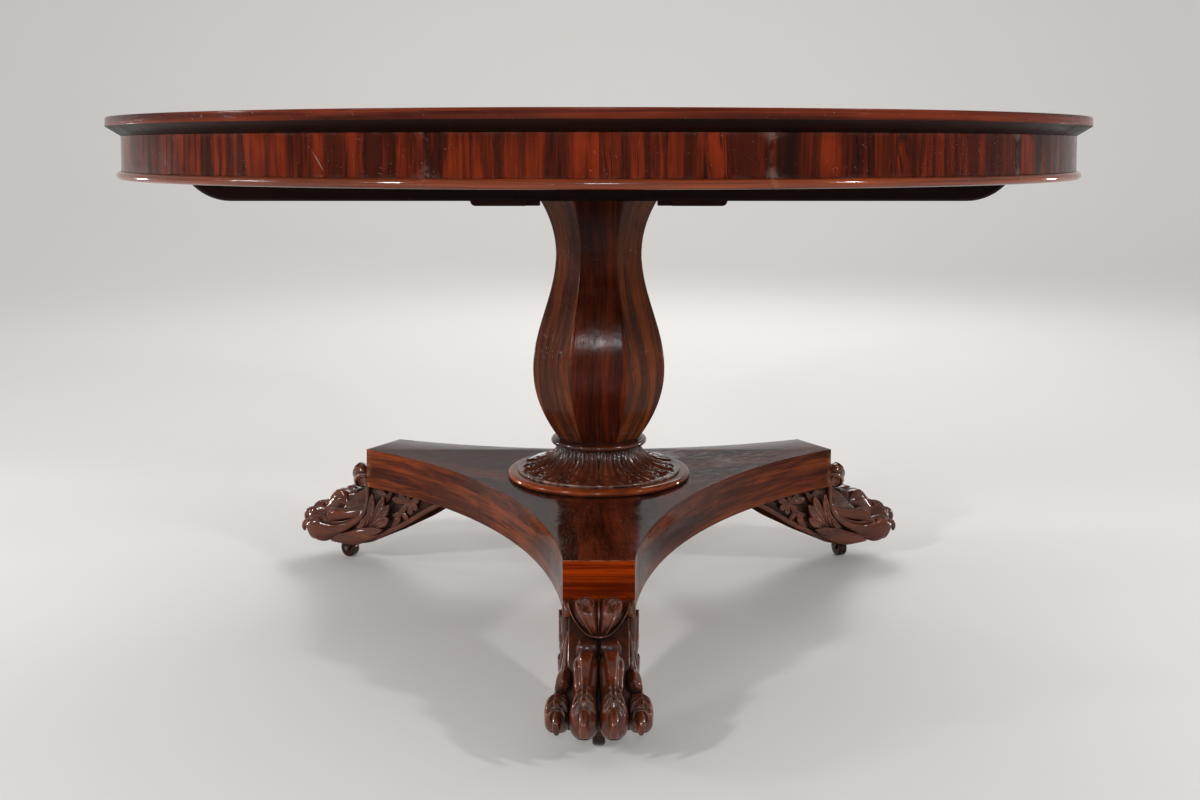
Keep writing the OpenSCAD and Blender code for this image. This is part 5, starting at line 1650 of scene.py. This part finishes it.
    def disc(self, u: float, z: float, radius: float, low: float, high: float, side: int,
             dish: float = 1.3) -> Surface:
        """A short round boss across the foot with a dished outer face.

        Args:
            u: its middle, out along the arm.
            z: its middle's height.
            radius: of the boss.
            low: distance of its back from the foot's middle.
            high: distance of its face.
            side: -1 mirrors it across the foot.
            dish: depth of its hollow.

        Returns:
            The surface.
        """
        angle = full_turn(64)[None, :]
        share = np.linspace(0, 1, 30)[:, None]
        r = radius * share
        wide = 0.6 if dish < self.DEEP_DISH else 0.78
        face = high - dish * swell(share, wide, 8) - 1.0 * ramp(share - 0.93, 0.07) + 0 * angle
        top = np.stack([u + r * np.cos(angle), side * face, z + r * np.sin(angle)], axis=-1)
        back = np.stack([u + radius * np.cos(angle), side * (low + 0 * angle), z + radius * np.sin(angle)],
                        axis=-1)
        return grid_surface(np.concatenate([top, back]))

    def neck(self) -> list[Surface]:
        """The palm under the toes, the hollow shield between the straps, and two small knuckles at its
        foot.

        Returns:
            One surface for each.
        """
        shield = ((420, 158, 414.9, 120, 0, 36), (424, 142, 420, 100, 0, 36), (431, 132, 428, 84, 0, 36),
                  (441, 124, 438, 70, 0, 35.5), (458, 112, 450, 60, 0, 35))

        def dished(share: Array, angle: Array) -> Array:
            """The shield's face falls in towards its middle, with a raised line at each side.

            Args:
                share: share along the shield.
                angle: round it, 90 degrees on top.

            Returns:
                The rise, in millimetres.
            """
            face = np.clip(np.sin(angle), 0, 1)
            hollow = -9.0 * swell(np.cos(angle), 0.80, 6)
            line = 1.0 * swell(np.abs(np.cos(angle)) - 0.93, 0.04)
            return face * (hollow + line)

        made = [self.member(self.PALM, 80, 72, 3.2), self.member(shield, 60, 90, 4.5, dished)]
        for side in (-1, 1):
            dome = ((444, 117, 441, 98, 13.2, 9.5), (454, 122.5, 450, 96, 13.4, 12.6),
                    (467, 121, 462, 96, 13.6, 13.2))
            made.append(self.member(dome, 24, 40, 2.6, None, side, nose=9.0))
        return made

    def side_leaves(self) -> list[Surface]:
        """Leaves that sweep back over the bracket, the lobe along the sole, and the flower behind them.

        Returns:
            One surface for each.
        """
        def lobe_carving(share: Array, angle: Array) -> Array:
            """The sole's lobe: a crease along it, and veins that start past its middle.

            Args:
                share: share along the lobe.
                angle: round it, 0 on the outer face.

            Returns:
                The rise, in millimetres.
            """
            face = np.clip(np.cos(angle), 0, 1)
            crease = -0.9 * swell(np.sin(angle) - 0.15, 0.10) * face * ramp(share - 0.3, 0.2)
            slant = -0.8 * (0.5 + 0.5 * np.cos(2 * np.pi * (share * 9 + np.sin(angle) * 1.3)))
            return crease + slant * face * ramp(share - 0.55, 0.12)

        made = []
        for side in (-1, 1):
            made += [self.leaf(vein, side) for vein in self.LEAVES]
            made.append(self.member(self.SOLE_LOBE, 110, 44, 3.4, lobe_carving, side, nose=2.0))
            made += [self.leaf(sprig, side, 40, 40, 4, 1.6) for sprig in self.SPRIGS]
            cu, cz = self.FLOWER
            for u, z, half in self.PETALS:
                vein = ((cu, cz, 2.0, 38, 4.0),
                        (cu + 0.45 * (u - cu), cz + 0.45 * (z - cz), half * 0.9, 39.5, 4.0),
                        (cu + 0.8 * (u - cu), cz + 0.8 * (z - cz), half, 41.0, 3.5), (u, z, 1.5, 42.0, 1.8))
                made.append(self.leaf(vein, side, 34, 36, 3.0, 1.6))
            made.append(self.disc(cu, cz, 4.5, 36.0, 42.5, side))
            made.append(self.bracket_edge(side))
        return made

    def place(self, points: Array) -> Array:
        """From the foot's own frame to the table's, in metres.

        Args:
            points: of shape (n, 3), in millimetres.

        Returns:
            The points in the table's frame.
        """
        a = math.radians(self.direction)
        u, v, z = points[:, 0] * MM, points[:, 1] * MM, points[:, 2] * MM
        return np.stack([u * math.cos(a) - v * math.sin(a), u * math.sin(a) + v * math.cos(a), z], axis=1)

    def dress(self, name: str, finishes: dict[str, bpy.types.Material]) -> None:
        """Makes the foot in four carved pieces: bracket, paw, rolled leaf and leaves.

        Args:
            name: which foot it is.
            finishes: the materials by their keys.
        """
        node = ["foot_" + name]
        parts = {"bracket": [self.bracket()] + self.neck(), "paw": self.toes(),
                 "roll": self.rolled_leaf(), "leaves": self.side_leaves()}
        for part, surfaces in parts.items():
            surface = joined(surfaces).moved(self.place)
            # Painted shade: the bracket gets a darker copy of the carved finish.
            finish = finishes["shaded" if part == "bracket" else "carved"]
            made = piece(f"foot_{name}_{part}", surface, finish, "base", node,
                         sharp=None)
            # Painted shade: faces that point down get a dark, matte finish.
            dress_faces(made, [finishes["sole"]], [facing(made)[:, 2] < SOLE_LIMIT])


@dataclass
class Hardware:
    """The pieces that keep their own solids: block, cleat, wedges, screws, catch and castors."""

    plain: tuple[str, ...] = ("glue_blocks", "head_block", "tenon_wedges")
    iron: tuple[str, ...] = ("bearer_screws", "pivot_pins", "cleat_screws", "foot_screws",
                             "castor_axle_front", "castor_axle_left", "castor_axle_right")

    def dress(self, finishes: dict[str, bpy.types.Material]) -> None:
        """Gives each of the carried-over nodes that shows its finish.

        Args:
            finishes: the materials by their keys.
        """
        for name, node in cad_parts.items():
            if name in self.plain:
                finish = finishes["plain"]
            elif name == "head_cleats":
                finish = finishes["cleat"]
            elif name in self.iron:
                finish = finishes["iron"]
            elif name.startswith("castor_"):
                finish = finishes["castor"]
            elif name.startswith(("catch_", "keep_")):
                finish = finishes["brass"]
            else:
                continue
            node.data.materials.clear()
            node.data.materials.append(finish)
            log.info("%s keeps its solid", name)


@dataclass
class Studio:
    """Camera, pale floor and backdrop, and soft plain lamps."""

    eye: tuple[float, float, float] = (0.0, -1.9694, 0.6935)
    tilt: float = 3.0
    lens: float = 39.54
    shift: tuple[float, float] = (0.001, -0.1523)

    def camera(self) -> None:
        """The camera at the photograph's own viewing angle."""
        data = bpy.data.cameras.new("camera")
        data.lens = self.lens
        data.sensor_width = 36.0
        data.shift_x, data.shift_y = self.shift
        made = bpy.data.objects.new("camera", data)
        made.location = self.eye
        made.rotation_euler = (math.radians(90 - self.tilt), 0, 0)
        bpy.context.scene.collection.objects.link(made)
        bpy.context.scene.camera = made

    def floor(self) -> None:
        """A wide pale floor that curves up far behind the table on every side."""
        share = np.linspace(0, 1, 60)[:, None]
        angle = full_turn(96)[None, :]
        radius = 0.0001 + 9.4 * share
        rise = 5.0 * ramp(share - 0.45, 0.55) ** 3
        rows = np.stack([radius * np.cos(angle), radius * np.sin(angle), rise + 0 * angle], axis=-1)
        surface = grid_surface(rows, caps="none")
        mesh = bpy.data.meshes.new("floor")
        mesh.from_pydata(surface.points.tolist(), [], surface.corners.reshape(-1, 4).tolist())
        mesh.shade_smooth()
        material = bpy.data.materials.new("pale_floor")
        material.use_nodes = True
        shader = material.node_tree.nodes["Principled BSDF"]
        shader.inputs["Base Color"].default_value = (0.80, 0.78, 0.755, 1)
        shader.inputs["Roughness"].default_value = 0.7
        mesh.materials.append(material)
        made = bpy.data.objects.new("floor", mesh)
        bpy.context.scene.collection.objects.link(made)

    def lamp(self, name: str, place: Sequence[float], size: float, power: float,
             aim: Sequence[float] = (0, 0, 0.4)) -> None:
        """A square soft lamp that points at the table.

        Args:
            name: the lamp's name.
            place: where it hangs, in metres.
            size: its side, in metres.
            power: in watts.
            aim: the point that it faces.
        """
        data = bpy.data.lights.new(name, "AREA")
        data.size = size
        data.energy = power
        made = bpy.data.objects.new(name, data)
        made.location = place
        made.rotation_euler = (Vector(aim) - Vector(place)).to_track_quat("-Z", "Y").to_euler()
        bpy.context.scene.collection.objects.link(made)

    def spot(self, name: str, place: Sequence[float], radius: float, power: float) -> None:
        """A narrow low beam on the feet, which leaves the floor beside the lamp as it is.

        Args:
            name: the lamp's name.
            place: where it stands, in metres.
            radius: of its glowing ball, in metres.
            power: in watts.
        """
        data = bpy.data.lights.new(name, "SPOT")
        data.energy = power
        data.shadow_soft_size = radius
        data.spot_size = math.radians(30)
        data.spot_blend = 0.4
        made = bpy.data.objects.new(name, data)
        made.location = place
        made.rotation_euler = (Vector((0, 0, 0.36)) - Vector(place)).to_track_quat("-Z", "Y").to_euler()
        bpy.context.scene.collection.objects.link(made)

    def light(self) -> None:
        """A pale world, six soft lamps and two low beams on the feet."""
        world = bpy.data.worlds.new("world")
        world.use_nodes = True
        world.node_tree.nodes["Background"].inputs[0].default_value = (1.0, 1.0, 1.0, 1)
        world.node_tree.nodes["Background"].inputs[1].default_value = 0.55
        bpy.context.scene.world = world
        self.lamp("lamp_left", (-2.6, -2.9, 1.9), 0.26, 50)
        self.lamp("lamp_right", (3.0, -2.3, 1.9), 0.24, 40)
        self.lamp("lamp_side", (-3.6, -0.9, 1.3), 0.40, 26)
        self.lamp("lamp_front", (0.0, -3.3, 1.46), 0.22, 14)
        self.spot("spot_back_left", (-3.0, 1.4, 0.34), 0.11, 68)
        self.spot("spot_back_right", (3.0, 1.3, 0.34), 0.12, 44)
        self.lamp("lamp_back", (0.6, 3.2, 2.8), 1.8, 50)
        self.lamp("lamp_backdrop", (0.0, 3.9, 3.2), 2.5, 34, (0.0, 7.6, 0.9))


def main() -> None:
    """Builds the studio, the finishes and each sub-assembly in turn."""
    logging.basicConfig(level=logging.INFO, format="%(message)s", stream=sys.stdout)
    scene = bpy.context.scene
    scene.view_settings.view_transform = "Standard"
    studio = Studio()
    studio.camera()
    studio.floor()
    studio.light()
    groups = {"figure": rosewood_figure_group(), "polish": old_polish_group(), "hollows": wax_shade_and_edges_group()}
    finishes = {key: finish.build(groups) for key, finish in {**FINISHES, **METALS}.items()}
    Top().dress(finishes)
    Bearers().dress(finishes)
    Column().dress(finishes)
    Platform().dress(finishes)
    for name, turn in FOOT_TURNS.items():
        CarvedFoot(turn).dress(name, finishes)
    Hardware().dress(finishes)


if __name__ == "__main__":
    main()
